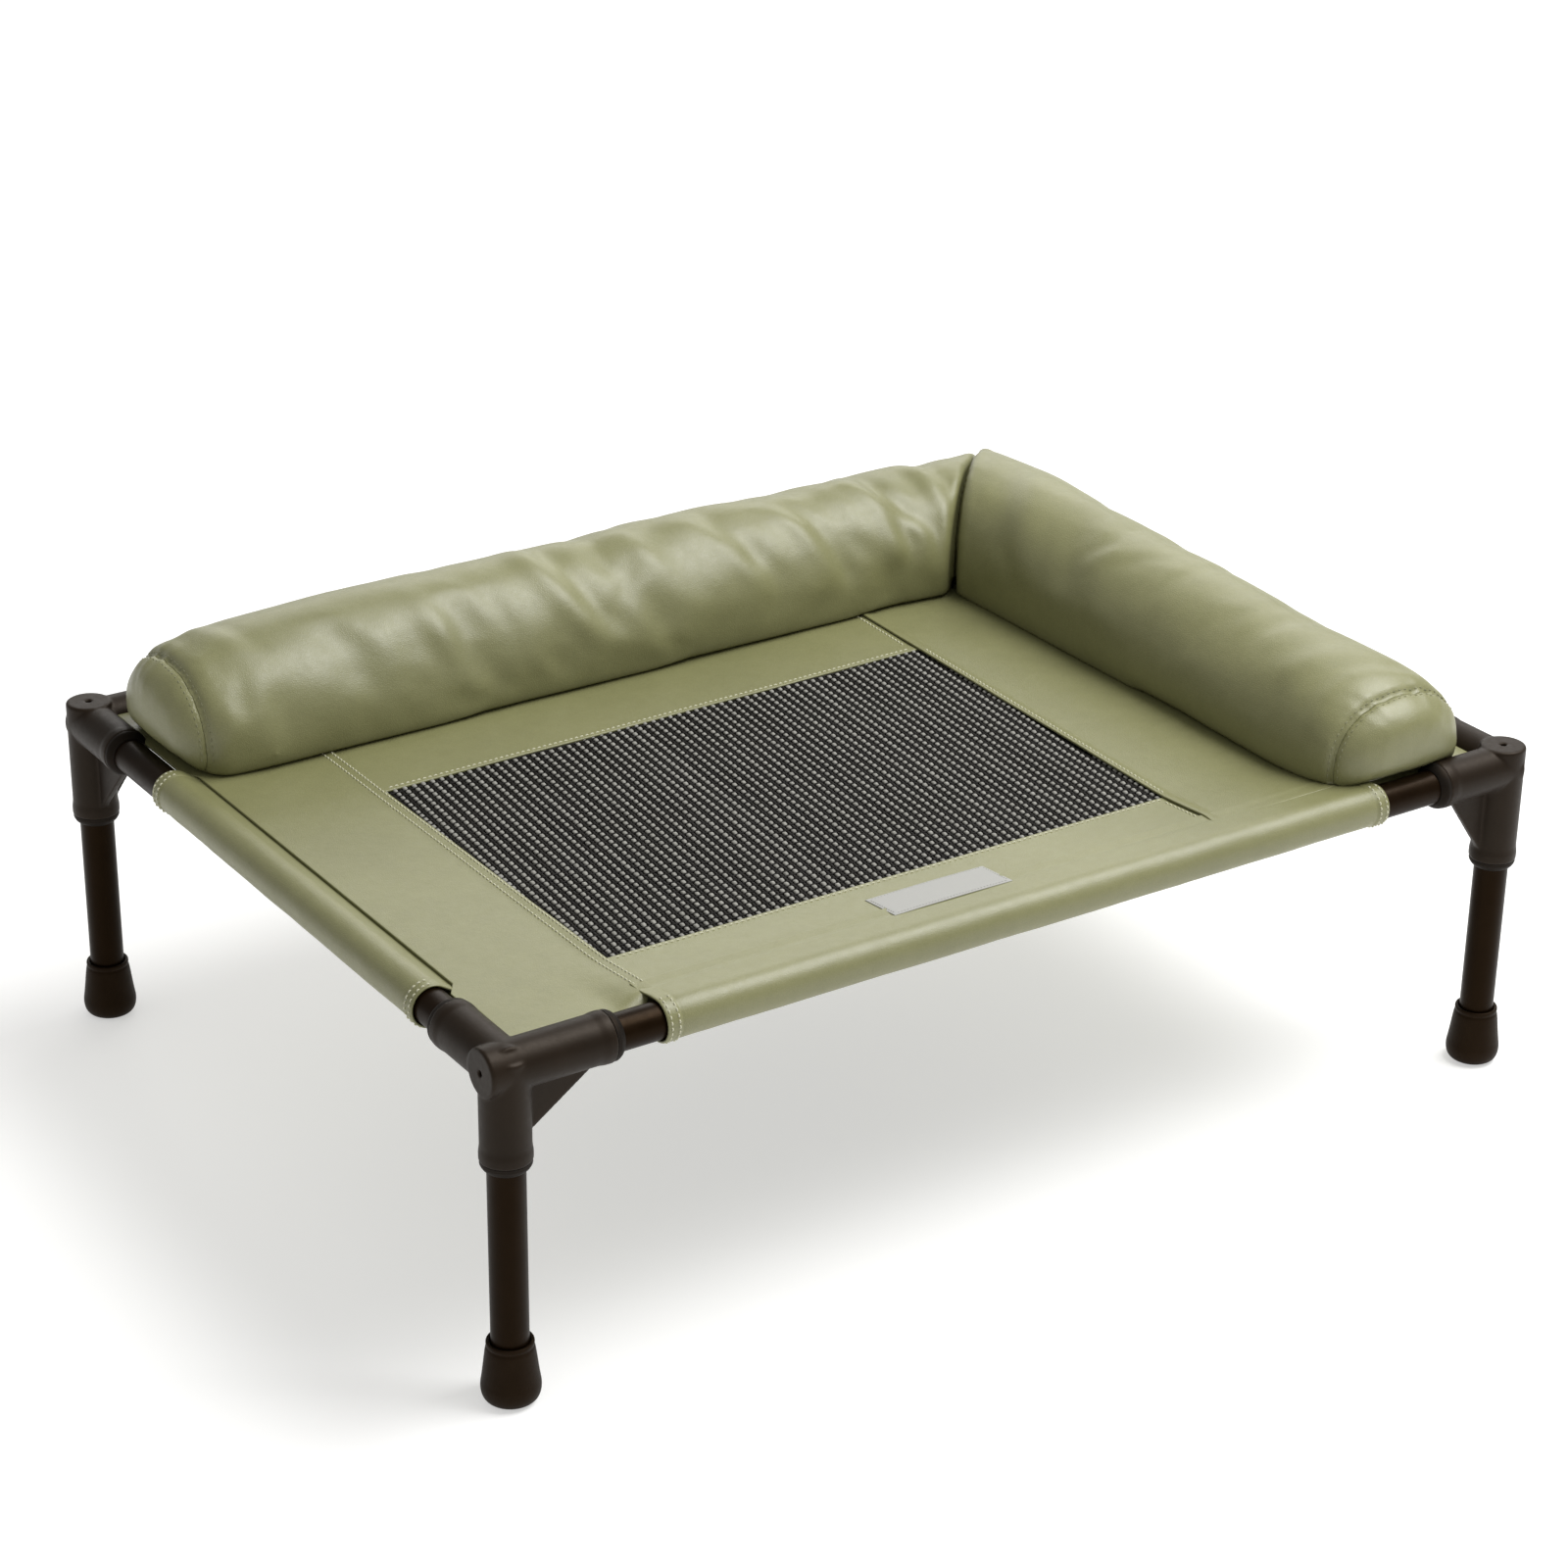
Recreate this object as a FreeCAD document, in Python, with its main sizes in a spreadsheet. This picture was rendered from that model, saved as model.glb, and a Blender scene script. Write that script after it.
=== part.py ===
import FreeCAD, Part

"""Raised dog bed: a tube frame on four legs, a leather deck with a mesh window, and an L of bolsters.

Millimetres, +Z up, +X along the long side.  The origin is on the floor under the middle of the
bed.  The corner at -X -Y is called the front left one, and the bolsters lie along the back (+Y)
and the right (+X) side.
"""

import math
import os

import Sketcher

DIMENSIONS = {
    # frame
    "tube_diameter": 22.0,
    "tube_wall": 1.2,
    "frame_length": 732.0,       # between the leg axes, along X
    "frame_depth": 540.0,        # between the leg axes, along Y
    "rail_height": 212.0,        # floor to rail axis
    "tube_stop": 18.0,           # from a corner's centre to the end of each tube in it
    # corner connector
    "barrel_diameter": 29.2,
    "main_barrel_reach": 63.5,   # from the corner's centre to a barrel's mouth
    "side_barrel_reach": 56.5,
    "cap_reach": 15.0,
    "lip_diameter": 30.4,
    "lip_length": 5.0,
    "lip_run": 4.0,
    "socket_diameter": 22.2,
    "cap_hole_diameter": 4.0,
    "cap_hole_depth": 7.0,
    "cap_bevel": 1.0,
    "web_thickness": 5.0,
    "web_depth": 13.6,           # a web's corners lie this deep in the barrels, from their axes
    "web_main_reach": 56.0,      # how far the webs run along the barrels
    "web_long_side_reach": 43.5,
    "web_short_side_reach": 55.0,
    "web_between_reach": 34.0,
    # soft ring at each socket's mouth
    "ring_diameter": 29.6,
    "ring_nose_diameter": 23.4,
    "ring_length": 6.0,
    "ring_shoulder": 2.0,
    "ring_bulge": 0.5,           # of the ring's curved side beyond its chord
    # rubber foot
    "foot_height": 39.0,
    "foot_floor": 5.0,
    "foot_top_diameter": 26.8,
    "foot_widest_diameter": 34.8,
    "foot_widest_height": 9.0,
    "foot_tread_diameter": 26.0,
    "foot_rim_height": 3.0,
    "foot_rim_step": 0.6,
    "foot_round": 3.5,
    # deck
    "deck_top": 218.0,
    "deck_thickness": 1.6,
    "deck_margin": 15.0,         # rail axis to the deck's sewn edge
    "window_left": 261.0,        # distances of the mesh window's sides from the origin
    "window_right": 142.0,
    "window_front": 202.0,
    "window_back": 62.0,
    "mesh_thickness": 1.0,
    "mesh_lap": 8.0,
    "sleeve_bore": 22.4,
    "sleeve_wall": 1.5,
    "tail_bite": 1.2,            # how far a sleeve's flat tail starts inside its wall
    "long_sleeve_left": 270.0,
    "long_sleeve_right": 259.0,
    "short_sleeve_front": 190.0,
    "short_sleeve_back": 147.0,
    "label_length": 85.0,
    "label_width": 30.0,
    "label_thickness": 0.6,
    "label_left": 98.0,
    "label_front": 254.0,
    # bolsters
    "cover_thickness": 1.2,
    "back_bolster_radius": 60.0,
    "back_bolster_rise": 19.0,   # of the arc's centre above the deck
    "right_bolster_radius": 57.0,
    "right_bolster_rise": 18.0,
    "bolster_corner_x": 283.0,   # where the two centre lines cross
    "bolster_corner_y": 192.0,
    "back_bolster_end": 348.0,
    "right_bolster_end": 247.0,
}


class Size:
    """A number of millimetres that keeps the spreadsheet expression it comes from."""

    def __init__(self, value, text):
        self.value = value
        self.text = text

    def join(self, other, sign, value):
        other = as_size(other)
        return Size(value(self.value, other.value), f"({self.text} {sign} {other.text})")

    def __add__(self, other):
        return self.join(other, "+", lambda a, b: a + b)

    def __sub__(self, other):
        return self.join(other, "-", lambda a, b: a - b)

    def __mul__(self, other):
        return self.join(other, "*", lambda a, b: a * b)

    def __truediv__(self, other):
        return self.join(other, "/", lambda a, b: a / b)

    def __neg__(self):
        return Size(-self.value, f"(0 - {self.text})")


def as_size(number):
    return number if isinstance(number, Size) else Size(float(number), str(float(number)))


def root_of(size):
    return Size(math.sqrt(size.value), f"sqrt({size.text})")


doc = FreeCAD.newDocument("RaisedDogBed")
sheet = doc.addObject("Spreadsheet::Sheet", "Dimensions")
for row, (name, number) in enumerate(DIMENSIONS.items(), start=1):
    sheet.set(f"A{row}", str(number))
    sheet.setAlias(f"A{row}", name)
doc.recompute()

dim = {name: Size(number, f"Dimensions.{name}") for name, number in DIMENSIONS.items()}
ZERO = as_size(0)
TOLERANCE = 0.01
NO_TURN = FreeCAD.Rotation()
X_AXIS = FreeCAD.Vector(1, 0, 0)
Y_AXIS = FreeCAD.Vector(0, 1, 0)
Z_AXIS = FreeCAD.Vector(0, 0, 1)


# ---------------------------------------------------------------- building helpers

def new_body(label):
    body = doc.addObject("PartDesign::Body", "Body_" + label)
    body.Label = label
    return body


def place(body, x, y, z, turn=NO_TURN):
    """Puts a body at a bound position, turned about its own origin."""
    body.Placement = FreeCAD.Placement(FreeCAD.Vector(0, 0, 0), turn)
    for axis, size in zip("xyz", (x, y, z)):
        body.setExpression(f"Placement.Base.{axis}", as_size(size).text)


def new_sketch(body, plane, name):
    """A sketch on one of the body's own origin planes: XY, XZ or YZ."""
    planes = {feature.Role: feature for feature in body.Origin.OriginFeatures}
    sketch = body.newObject("Sketcher::SketchObject", name)
    sketch.AttachmentSupport = [(planes[plane + "_Plane"], "")]
    sketch.MapMode = "FlatFace"
    return sketch


def lift(sketch, size):
    """Moves a sketch along its plane's normal."""
    sketch.setExpression("AttachmentOffset.Base.z", size.text)


def hold_point(sketch, edge, end, across, up):
    """Ties one end of an edge to its distances from the sketch's origin."""
    for kind, size in (("DistanceX", across), ("DistanceY", up)):
        index = sketch.addConstraint(Sketcher.Constraint(kind, -1, 1, edge, end, size.value))
        sketch.setExpression(f"Constraints[{index}]", size.text)


def draw_outline(sketch, corners):
    """A closed loop of straight edges through corners given as (across, up) sizes."""
    corners = [(as_size(across), as_size(up)) for across, up in corners]
    points = [FreeCAD.Vector(across.value, up.value, 0) for across, up in corners]
    first = sketch.GeometryCount
    count = len(points)
    for index in range(count):
        sketch.addGeometry(Part.LineSegment(points[index], points[(index + 1) % count]), False)
    for index in range(count):
        following = first + (index + 1) % count
        sketch.addConstraint(Sketcher.Constraint("Coincident", first + index, 2, following, 1))
        hold_point(sketch, first + index, 1, *corners[index])


def draw_circle(sketch, radius, across=ZERO, up=ZERO):
    centre = FreeCAD.Vector(across.value, up.value, 0)
    edge = sketch.addGeometry(Part.Circle(centre, Z_AXIS, radius.value), False)
    index = sketch.addConstraint(Sketcher.Constraint("Radius", edge, radius.value))
    sketch.setExpression(f"Constraints[{index}]", radius.text)
    hold_point(sketch, edge, 3, across, up)


def pad(body, sketch, name, length, midplane=False, backwards=False):
    feature = body.newObject("PartDesign::Pad", name)
    feature.Profile = sketch
    feature.setExpression("Length", as_size(length).text)
    feature.Midplane = midplane
    feature.Reversed = backwards
    return feature


def revolve(body, sketch, name, kind, axis):
    feature = body.newObject("PartDesign::" + kind, name)
    feature.Profile = sketch
    feature.ReferenceAxis = (sketch, [axis])
    feature.Angle = 360
    return feature


def pocket(body, sketch, name, length, backwards):
    """Cuts a pocket and makes sure that it took material away."""
    doc.recompute()
    before = body.Shape.Volume
    feature = body.newObject("PartDesign::Pocket", name)
    feature.Profile = sketch
    feature.setExpression("Length", as_size(length).text)
    feature.Reversed = backwards
    doc.recompute()
    if body.Shape.Volume >= before:
        raise RuntimeError(f"{body.Label}: {name} cuts nothing")
    return feature


def level_edges(shape, height):
    """The names of the flat rings at a height of an upright shape."""
    found = []
    for number, edge in enumerate(shape.Edges, start=1):
        box = edge.BoundBox
        if box.ZLength < TOLERANCE and abs(box.ZMin - height) < TOLERANCE:
            found.append(f"Edge{number}")
    return found


def round_edges(body, base, edges, name, radius):
    rounding = body.newObject("PartDesign::Fillet", name)
    rounding.Base = (base, edges)
    rounding.setExpression("Radius", radius.text)
    return rounding


# ---------------------------------------------------------------- frame

def make_tube(label, length):
    """A round steel tube that starts at its own origin and runs along its own +Z."""
    body = new_body(label)
    sketch = new_sketch(body, "XY", "TubeSection_" + label)
    radius = dim["tube_diameter"] / 2
    draw_circle(sketch, radius)
    draw_circle(sketch, radius - dim["tube_wall"])
    pad(body, sketch, "Tube_" + label, length)
    return body


def barrel_profile(start, mouth, bevel, side):
    """Half of a barrel's section from its near end to its lipped mouth, as (along, out)."""
    radius = dim["barrel_diameter"] / 2
    lip = dim["lip_diameter"] / 2
    lip_start = mouth - dim["lip_length"]
    points = [
        (start, ZERO),
        (start, radius - bevel),
        (start + bevel, radius),
        (lip_start - dim["lip_run"], radius),
        (lip_start, lip),
        (mouth, lip),
        (mouth, ZERO),
    ]
    return [(along * side, out) for along, out in points]


def swapped(outline):
    return [(out, along) for along, out in outline]


def socket_profile(mouth, side):
    """Half of a socket's section, as (along, out)."""
    radius = dim["socket_diameter"] / 2
    start = dim["tube_stop"]
    points = [(start, ZERO), (start, radius), (mouth, radius), (mouth, ZERO)]
    return [(along * side, out) for along, out in points]


def web_profile(first_side, first_reach, second_side, second_reach):
    """A slanted web between two barrels, given the barrels' directions and its reaches."""
    depth = dim["web_depth"]
    return [
        (ZERO, ZERO),
        (first_reach * first_side, ZERO),
        (first_reach * first_side, depth * second_side),
        (depth * first_side, second_reach * second_side),
        (ZERO, second_reach * second_side),
    ]


def socket_volume(mouth):
    radius = DIMENSIONS["socket_diameter"] / 2
    return math.pi * radius ** 2 * (mouth - DIMENSIONS["tube_stop"])


def make_connector(label):
    """One moulded three-way corner: a capped main barrel down -Z, side barrels along -X and +Y."""
    body = new_body(label)
    sockets = (
        ("Main", "XZ", "V_Axis", dim["main_barrel_reach"], -1, True),
        ("LongSide", "XZ", "H_Axis", dim["side_barrel_reach"], -1, False),
        ("ShortSide", "YZ", "H_Axis", dim["side_barrel_reach"], 1, False),
    )
    inside_main_barrel = -dim["barrel_diameter"] / 4
    for name, plane, axis, mouth, side, upright in sockets:
        start = -dim["cap_reach"] if upright else inside_main_barrel
        outline = barrel_profile(start, mouth, dim["cap_bevel"], side)
        if upright:
            outline = swapped(outline)
        sketch = new_sketch(body, plane, name + "BarrelSection_" + label)
        draw_outline(sketch, outline)
        revolve(body, sketch, name + "Barrel_" + label, "Revolution", axis)
    webs = (
        ("MainToLong", "XZ", (-1, dim["web_long_side_reach"], -1, dim["web_main_reach"])),
        ("MainToShort", "YZ", (1, dim["web_short_side_reach"], -1, dim["web_main_reach"])),
        ("Between", "XY", (-1, dim["web_between_reach"], 1, dim["web_between_reach"])),
    )
    for name, plane, reaches in webs:
        sketch = new_sketch(body, plane, name + "WebSketch_" + label)
        draw_outline(sketch, web_profile(*reaches))
        pad(body, sketch, name + "Web_" + label, dim["web_thickness"], midplane=True)
    doc.recompute()
    solid_volume = body.Shape.Volume
    for name, plane, axis, mouth, side, upright in sockets:
        outline = socket_profile(mouth, side)
        if upright:
            outline = swapped(outline)
        sketch = new_sketch(body, plane, name + "SocketSection_" + label)
        draw_outline(sketch, outline)
        revolve(body, sketch, name + "Socket_" + label, "Groove", axis)
    doc.recompute()
    expected = sum(socket_volume(mouth.value) for _, _, _, mouth, _, _ in sockets)
    if abs(solid_volume - body.Shape.Volume - expected) > expected / 100:
        raise RuntimeError(f"{label}: a socket is not cut in full")
    sketch = new_sketch(body, "XY", "CapHoleSketch_" + label)
    lift(sketch, dim["cap_reach"])
    draw_circle(sketch, dim["cap_hole_diameter"] / 2)
    pocket(body, sketch, "CapHole_" + label, dim["cap_hole_depth"], False)
    return body


def make_foot(label):
    """A rubber foot: a flared cup round the end of a leg, with a rounded tread and a thin rim."""
    body = new_body(label)
    sketch = new_sketch(body, "XZ", "FootSection_" + label)
    bore = dim["tube_diameter"] / 2
    rim = dim["foot_top_diameter"] / 2
    tread = dim["foot_tread_diameter"] / 2
    widest = dim["foot_widest_diameter"] / 2
    rim_foot = dim["foot_height"] - dim["foot_rim_height"]
    draw_outline(sketch, [
        (ZERO, ZERO),
        (tread, ZERO),
        (widest, dim["foot_widest_height"]),
        (rim + dim["foot_rim_step"], rim_foot - dim["foot_rim_step"]),
        (rim, rim_foot),
        (rim, dim["foot_height"]),
        (bore, dim["foot_height"]),
        (bore, dim["foot_floor"]),
        (ZERO, dim["foot_floor"]),
    ])
    cup = revolve(body, sketch, "Foot_" + label, "Revolution", "V_Axis")
    doc.recompute()
    for name, level in (("FlareRound", dim["foot_widest_height"]), ("TreadRound", ZERO)):
        edges = level_edges(cup.Shape, level.value)
        cup = round_edges(body, cup, edges, name + "_" + label, dim["foot_round"])
        doc.recompute()
    return body


def socket_ring_shape():
    """A soft ring that closes the gap at a socket's mouth, along +Z from the barrel's end."""
    bore = DIMENSIONS["tube_diameter"] / 2
    outer = DIMENSIONS["ring_diameter"] / 2
    nose = DIMENSIONS["ring_nose_diameter"] / 2
    length = DIMENSIONS["ring_length"]
    shoulder = DIMENSIONS["ring_shoulder"]
    back = FreeCAD.Vector(outer, 0, 0)
    front = FreeCAD.Vector(outer, 0, shoulder)
    tip = FreeCAD.Vector(nose, 0, length)
    out = FreeCAD.Vector(length - shoulder, 0, outer - nose).normalize()
    bulge = (front + tip) / 2 + out * DIMENSIONS["ring_bulge"]
    corners = [FreeCAD.Vector(bore, 0, length), FreeCAD.Vector(bore, 0, 0), back, front]
    edges = [Part.makeLine(first, second) for first, second in zip(corners, corners[1:])]
    edges.append(Part.Arc(front, bulge, tip).toShape())
    edges.append(Part.makeLine(tip, corners[0]))
    section = Part.Face(Part.Wire(edges))
    return section.revolve(FreeCAD.Vector(0, 0, 0), Z_AXIS, 360)


def make_socket_rings(label, corners):
    """The twelve rings of the frame in one group: three on each corner's barrels."""
    ring = socket_ring_shape()
    main_reach = DIMENSIONS["main_barrel_reach"]
    side_reach = DIMENSIONS["side_barrel_reach"]
    rings = []
    for centre, turn in corners:
        for direction, reach in ((-Z_AXIS, main_reach), (-X_AXIS, side_reach), (Y_AXIS, side_reach)):
            facing = turn.multVec(direction)
            copy = ring.copy()
            copy.Placement = FreeCAD.Placement(
                centre + facing * reach, FreeCAD.Rotation(Z_AXIS, facing)
            )
            rings.append(copy)
    feature = doc.addObject("Part::Feature", "Group_" + label)
    feature.Label = label
    feature.Shape = Part.makeCompound(rings)
    feature.Placement = FreeCAD.Placement()
    return feature


# ---------------------------------------------------------------- deck

def make_plate(label, left, right, front, back, bottom, thickness):
    """A flat sheet between four sides, lying on a given height."""
    body = new_body(label)
    sketch = new_sketch(body, "XY", "Outline_" + label)
    draw_outline(sketch, [(left, front), (right, front), (right, back), (left, back)])
    pad(body, sketch, "Sheet_" + label, thickness)
    place(body, ZERO, ZERO, bottom)
    return body


def make_sleeve(label, length):
    """A hem round a rail, with the flat tail that is sewn to the deck towards its own +X."""
    body = new_body(label)
    bore = dim["sleeve_bore"] / 2
    outer = bore + dim["sleeve_wall"]
    tail_top = dim["deck_top"] - dim["rail_height"]
    tail_bottom = tail_top - dim["deck_thickness"]
    ring = new_sketch(body, "XY", "SleeveSection_" + label)
    draw_circle(ring, outer)
    draw_circle(ring, bore)
    pad(body, ring, "Sleeve_" + label, length)
    tail = new_sketch(body, "XY", "TailSection_" + label)
    inside_wall = outer - dim["tail_bite"]
    draw_outline(tail, [
        (inside_wall, tail_bottom),
        (dim["deck_margin"], tail_bottom),
        (dim["deck_margin"], tail_top),
        (inside_wall, tail_top),
    ])
    pad(body, tail, "Tail_" + label, length)
    return body


# ---------------------------------------------------------------- bolsters

def draw_bolster_section(sketch, radius, rise, inset):
    """The round-topped, flat-bottomed section; inset shrinks it evenly on every side."""
    radius = radius - inset
    low = inset
    half_width = root_of(radius * radius - (rise - inset) * (rise - inset))
    left = FreeCAD.Vector(-half_width.value, low.value, 0)
    right = FreeCAD.Vector(half_width.value, low.value, 0)
    top = FreeCAD.Vector(0, rise.value + radius.value, 0)
    first = sketch.GeometryCount
    sketch.addGeometry(Part.LineSegment(left, right), False)
    sketch.addGeometry(Part.Arc(right, top, left), False)
    sketch.addConstraint(Sketcher.Constraint("Coincident", first, 2, first + 1, 1))
    sketch.addConstraint(Sketcher.Constraint("Coincident", first, 1, first + 1, 2))
    hold_point(sketch, first, 1, -half_width, low)
    hold_point(sketch, first, 2, half_width, low)
    index = sketch.addConstraint(Sketcher.Constraint("Radius", first + 1, radius.value))
    sketch.setExpression(f"Constraints[{index}]", radius.text)


def make_bolster_piece(label, length, radius, rise, outer_inset, wall, lean):
    """A length of bolster along its own +X, cut at 45 degrees where the two bolsters meet.

    lean is 1 where the piece is longest on its own +Y side and -1 where it is longest on -Y.
    A wall makes it a hollow cover; with no wall it is the solid filling.
    """
    body = new_body(label)
    clear = radius * 2            # well outside the section on every side
    section = new_sketch(body, "YZ", "Section_" + label)
    draw_bolster_section(section, radius, rise, outer_inset)
    if wall is not None:
        draw_bolster_section(section, radius, rise, outer_inset + wall)
    pad(body, section, "Length_" + label, length + clear)
    cut = new_sketch(body, "XY", "MitreSketch_" + label)
    draw_outline(cut, [
        (length - clear, clear * -lean),
        (length + clear, clear * lean),
        (length + clear * 2, clear * lean),
        (length + clear * 2, clear * -lean),
    ])
    pocket(body, cut, "Mitre_" + label, clear * 2, True)
    return body


def make_end_cap(label, radius, rise):
    """The sewn end panel of a bolster, on the outside of the cover's open end."""
    body = new_body(label)
    section = new_sketch(body, "YZ", "Section_" + label)
    draw_bolster_section(section, radius, rise, ZERO)
    pad(body, section, "Panel_" + label, dim["cover_thickness"], backwards=True)
    return body


# ---------------------------------------------------------------- assembly

half_length = dim["frame_length"] / 2
half_depth = dim["frame_depth"] / 2
rail_height = dim["rail_height"]
tube_stop = dim["tube_stop"]

LONG_WAYS = FreeCAD.Rotation(Y_AXIS, 90)       # own +Z turned to +X
BACK_WAYS = FreeCAD.Rotation(X_AXIS, -90)      # own +Z turned to +Y
ON_ITS_SIDE = FreeCAD.Rotation(Y_AXIS, -90)    # own -Z to +X, own -X to -Z

sub_parts = []

long_rail = dim["frame_length"] - tube_stop * 2
short_rail = dim["frame_depth"] - tube_stop * 2
for label, y in (("rail_front", -half_depth), ("rail_back", half_depth)):
    rail = make_tube(label, long_rail)
    place(rail, tube_stop - half_length, y, rail_height, LONG_WAYS)
    sub_parts.append(rail)
for label, x in (("rail_left", -half_length), ("rail_right", half_length)):
    rail = make_tube(label, short_rail)
    place(rail, x, tube_stop - half_depth, rail_height, BACK_WAYS)
    sub_parts.append(rail)

CORNERS = (
    ("front_left", -half_length, -half_depth, ON_ITS_SIDE),
    ("front_right", half_length, -half_depth, NO_TURN),
    ("back_left", -half_length, half_depth, FreeCAD.Rotation(Z_AXIS, 180)),
    ("back_right", half_length, half_depth, FreeCAD.Rotation(Z_AXIS, 90)),
)
ring_places = []
for corner, x, y, turn in CORNERS:
    connector = make_connector("connector_" + corner)
    place(connector, x, y, rail_height, turn)
    leg = make_tube("leg_" + corner, rail_height - tube_stop - dim["foot_floor"])
    place(leg, x, y, dim["foot_floor"])
    foot = make_foot("foot_" + corner)
    place(foot, x, y, ZERO)
    sub_parts += [connector, leg, foot]
    ring_places.append((FreeCAD.Vector(x.value, y.value, rail_height.value), turn))
sub_parts.append(make_socket_rings("socket_rings", ring_places))

deck_bottom = dim["deck_top"] - dim["deck_thickness"]
deck_half_length = half_length - dim["deck_margin"]
deck_half_depth = half_depth - dim["deck_margin"]
window_left = -dim["window_left"]
window_right = dim["window_right"]
window_front = -dim["window_front"]
window_back = dim["window_back"]
PANELS = (
    ("deck_left_panel", -deck_half_length, window_left, -deck_half_depth, deck_half_depth),
    ("deck_right_panel", window_right, deck_half_length, -deck_half_depth, deck_half_depth),
    ("deck_front_panel", window_left, window_right, -deck_half_depth, window_front),
    ("deck_back_panel", window_left, window_right, window_back, deck_half_depth),
)
for label, left, right, front, back in PANELS:
    sub_parts.append(make_plate(label, left, right, front, back, deck_bottom, dim["deck_thickness"]))

lap = dim["mesh_lap"]
sub_parts.append(make_plate(
    "mesh_window", window_left - lap, window_right + lap, window_front - lap, window_back + lap,
    deck_bottom - dim["mesh_thickness"], dim["mesh_thickness"],
))

long_sleeve = dim["long_sleeve_left"] + dim["long_sleeve_right"]
short_sleeve = dim["short_sleeve_front"] + dim["short_sleeve_back"]
SLEEVES = (
    ("sleeve_front", Y_AXIS, long_sleeve, -dim["long_sleeve_left"], -half_depth),
    ("sleeve_back", -Y_AXIS, long_sleeve, dim["long_sleeve_right"], half_depth),
    ("sleeve_left", X_AXIS, short_sleeve, -half_length, dim["short_sleeve_back"]),
    ("sleeve_right", -X_AXIS, short_sleeve, half_length, -dim["short_sleeve_front"]),
)
for label, inwards, length, x, y in SLEEVES:
    sleeve = make_sleeve(label, length)
    turn = FreeCAD.Rotation(inwards, Z_AXIS, inwards.cross(Z_AXIS), "XYZ")
    place(sleeve, x, y, rail_height, turn)
    sub_parts.append(sleeve)

label_left = -dim["label_left"]
label_front = -dim["label_front"]
sub_parts.append(make_plate(
    "woven_label", label_left, label_left + dim["label_length"],
    label_front, label_front + dim["label_width"], dim["deck_top"], dim["label_thickness"],
))

BOLSTERS = (
    ("bolster_back", -dim["back_bolster_end"], dim["bolster_corner_y"],
     dim["back_bolster_end"] + dim["bolster_corner_x"],
     dim["back_bolster_radius"], dim["back_bolster_rise"], 1, NO_TURN),
    ("bolster_right", dim["bolster_corner_x"], -dim["right_bolster_end"],
     dim["right_bolster_end"] + dim["bolster_corner_y"],
     dim["right_bolster_radius"], dim["right_bolster_rise"], -1, FreeCAD.Rotation(Z_AXIS, 90)),
)
cover = dim["cover_thickness"]
for label, x, y, length, radius, rise, lean, turn in BOLSTERS:
    pieces = (
        make_bolster_piece(label + "_cover", length, radius, rise, ZERO, cover, lean),
        make_bolster_piece(label + "_fill", length, radius, rise, cover, None, lean),
        make_end_cap(label + "_end_cap", radius, rise),
    )
    for piece in pieces:
        place(piece, x, y, dim["deck_top"], turn)
        sub_parts.append(piece)

doc.recompute()

for item in doc.Objects:
    if "Invalid" in item.State or "Error" in item.State:
        raise RuntimeError(f"{item.Name} did not compute: {item.State}")
for sub_part in sub_parts:
    if sub_part.Shape.isNull() or not sub_part.Shape.isValid():
        raise RuntimeError(f"{sub_part.Label} has no valid shape")

os.makedirs("parts", exist_ok=True)
for sub_part in sub_parts:
    sub_part.Shape.exportStep(f"parts/{sub_part.Label}.step")

whole = Part.makeCompound([sub_part.Shape for sub_part in sub_parts]).optimalBoundingBox(False, False)
print(f"{len(sub_parts)} sub-parts, {whole.XLength:.1f} x {whole.YLength:.1f} x {whole.ZLength:.1f} mm")
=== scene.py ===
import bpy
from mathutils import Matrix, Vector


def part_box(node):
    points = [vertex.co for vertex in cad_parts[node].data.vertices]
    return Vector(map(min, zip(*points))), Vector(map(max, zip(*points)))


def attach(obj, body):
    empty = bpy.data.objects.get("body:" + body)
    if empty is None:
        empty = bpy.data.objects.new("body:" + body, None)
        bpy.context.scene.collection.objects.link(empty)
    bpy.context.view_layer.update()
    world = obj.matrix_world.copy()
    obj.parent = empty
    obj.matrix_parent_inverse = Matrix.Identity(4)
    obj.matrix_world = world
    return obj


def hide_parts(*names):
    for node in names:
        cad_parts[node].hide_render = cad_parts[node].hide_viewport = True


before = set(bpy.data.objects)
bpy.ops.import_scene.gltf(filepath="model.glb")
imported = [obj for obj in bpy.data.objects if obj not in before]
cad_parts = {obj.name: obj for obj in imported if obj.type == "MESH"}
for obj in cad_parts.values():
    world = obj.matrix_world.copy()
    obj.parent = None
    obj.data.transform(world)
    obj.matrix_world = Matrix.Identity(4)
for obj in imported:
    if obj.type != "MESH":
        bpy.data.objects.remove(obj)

"""Looks of the raised dog bed: metres, +Z up, in the CAD frame.

The tubes and the soft rings are the CAD's own.  The connectors and feet are smoother stand-ins.
The deck, sleeves, mesh, label and bolsters are modelled here, in the places of their CAD solids.
"""

import math
import random
from contextlib import contextmanager

import bmesh
import bpy
import numpy as np
from mathutils import Quaternion, Vector, noise

MM = 0.001
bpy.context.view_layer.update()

# ---------------------------------------------------------------- places, all from the frame

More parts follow.
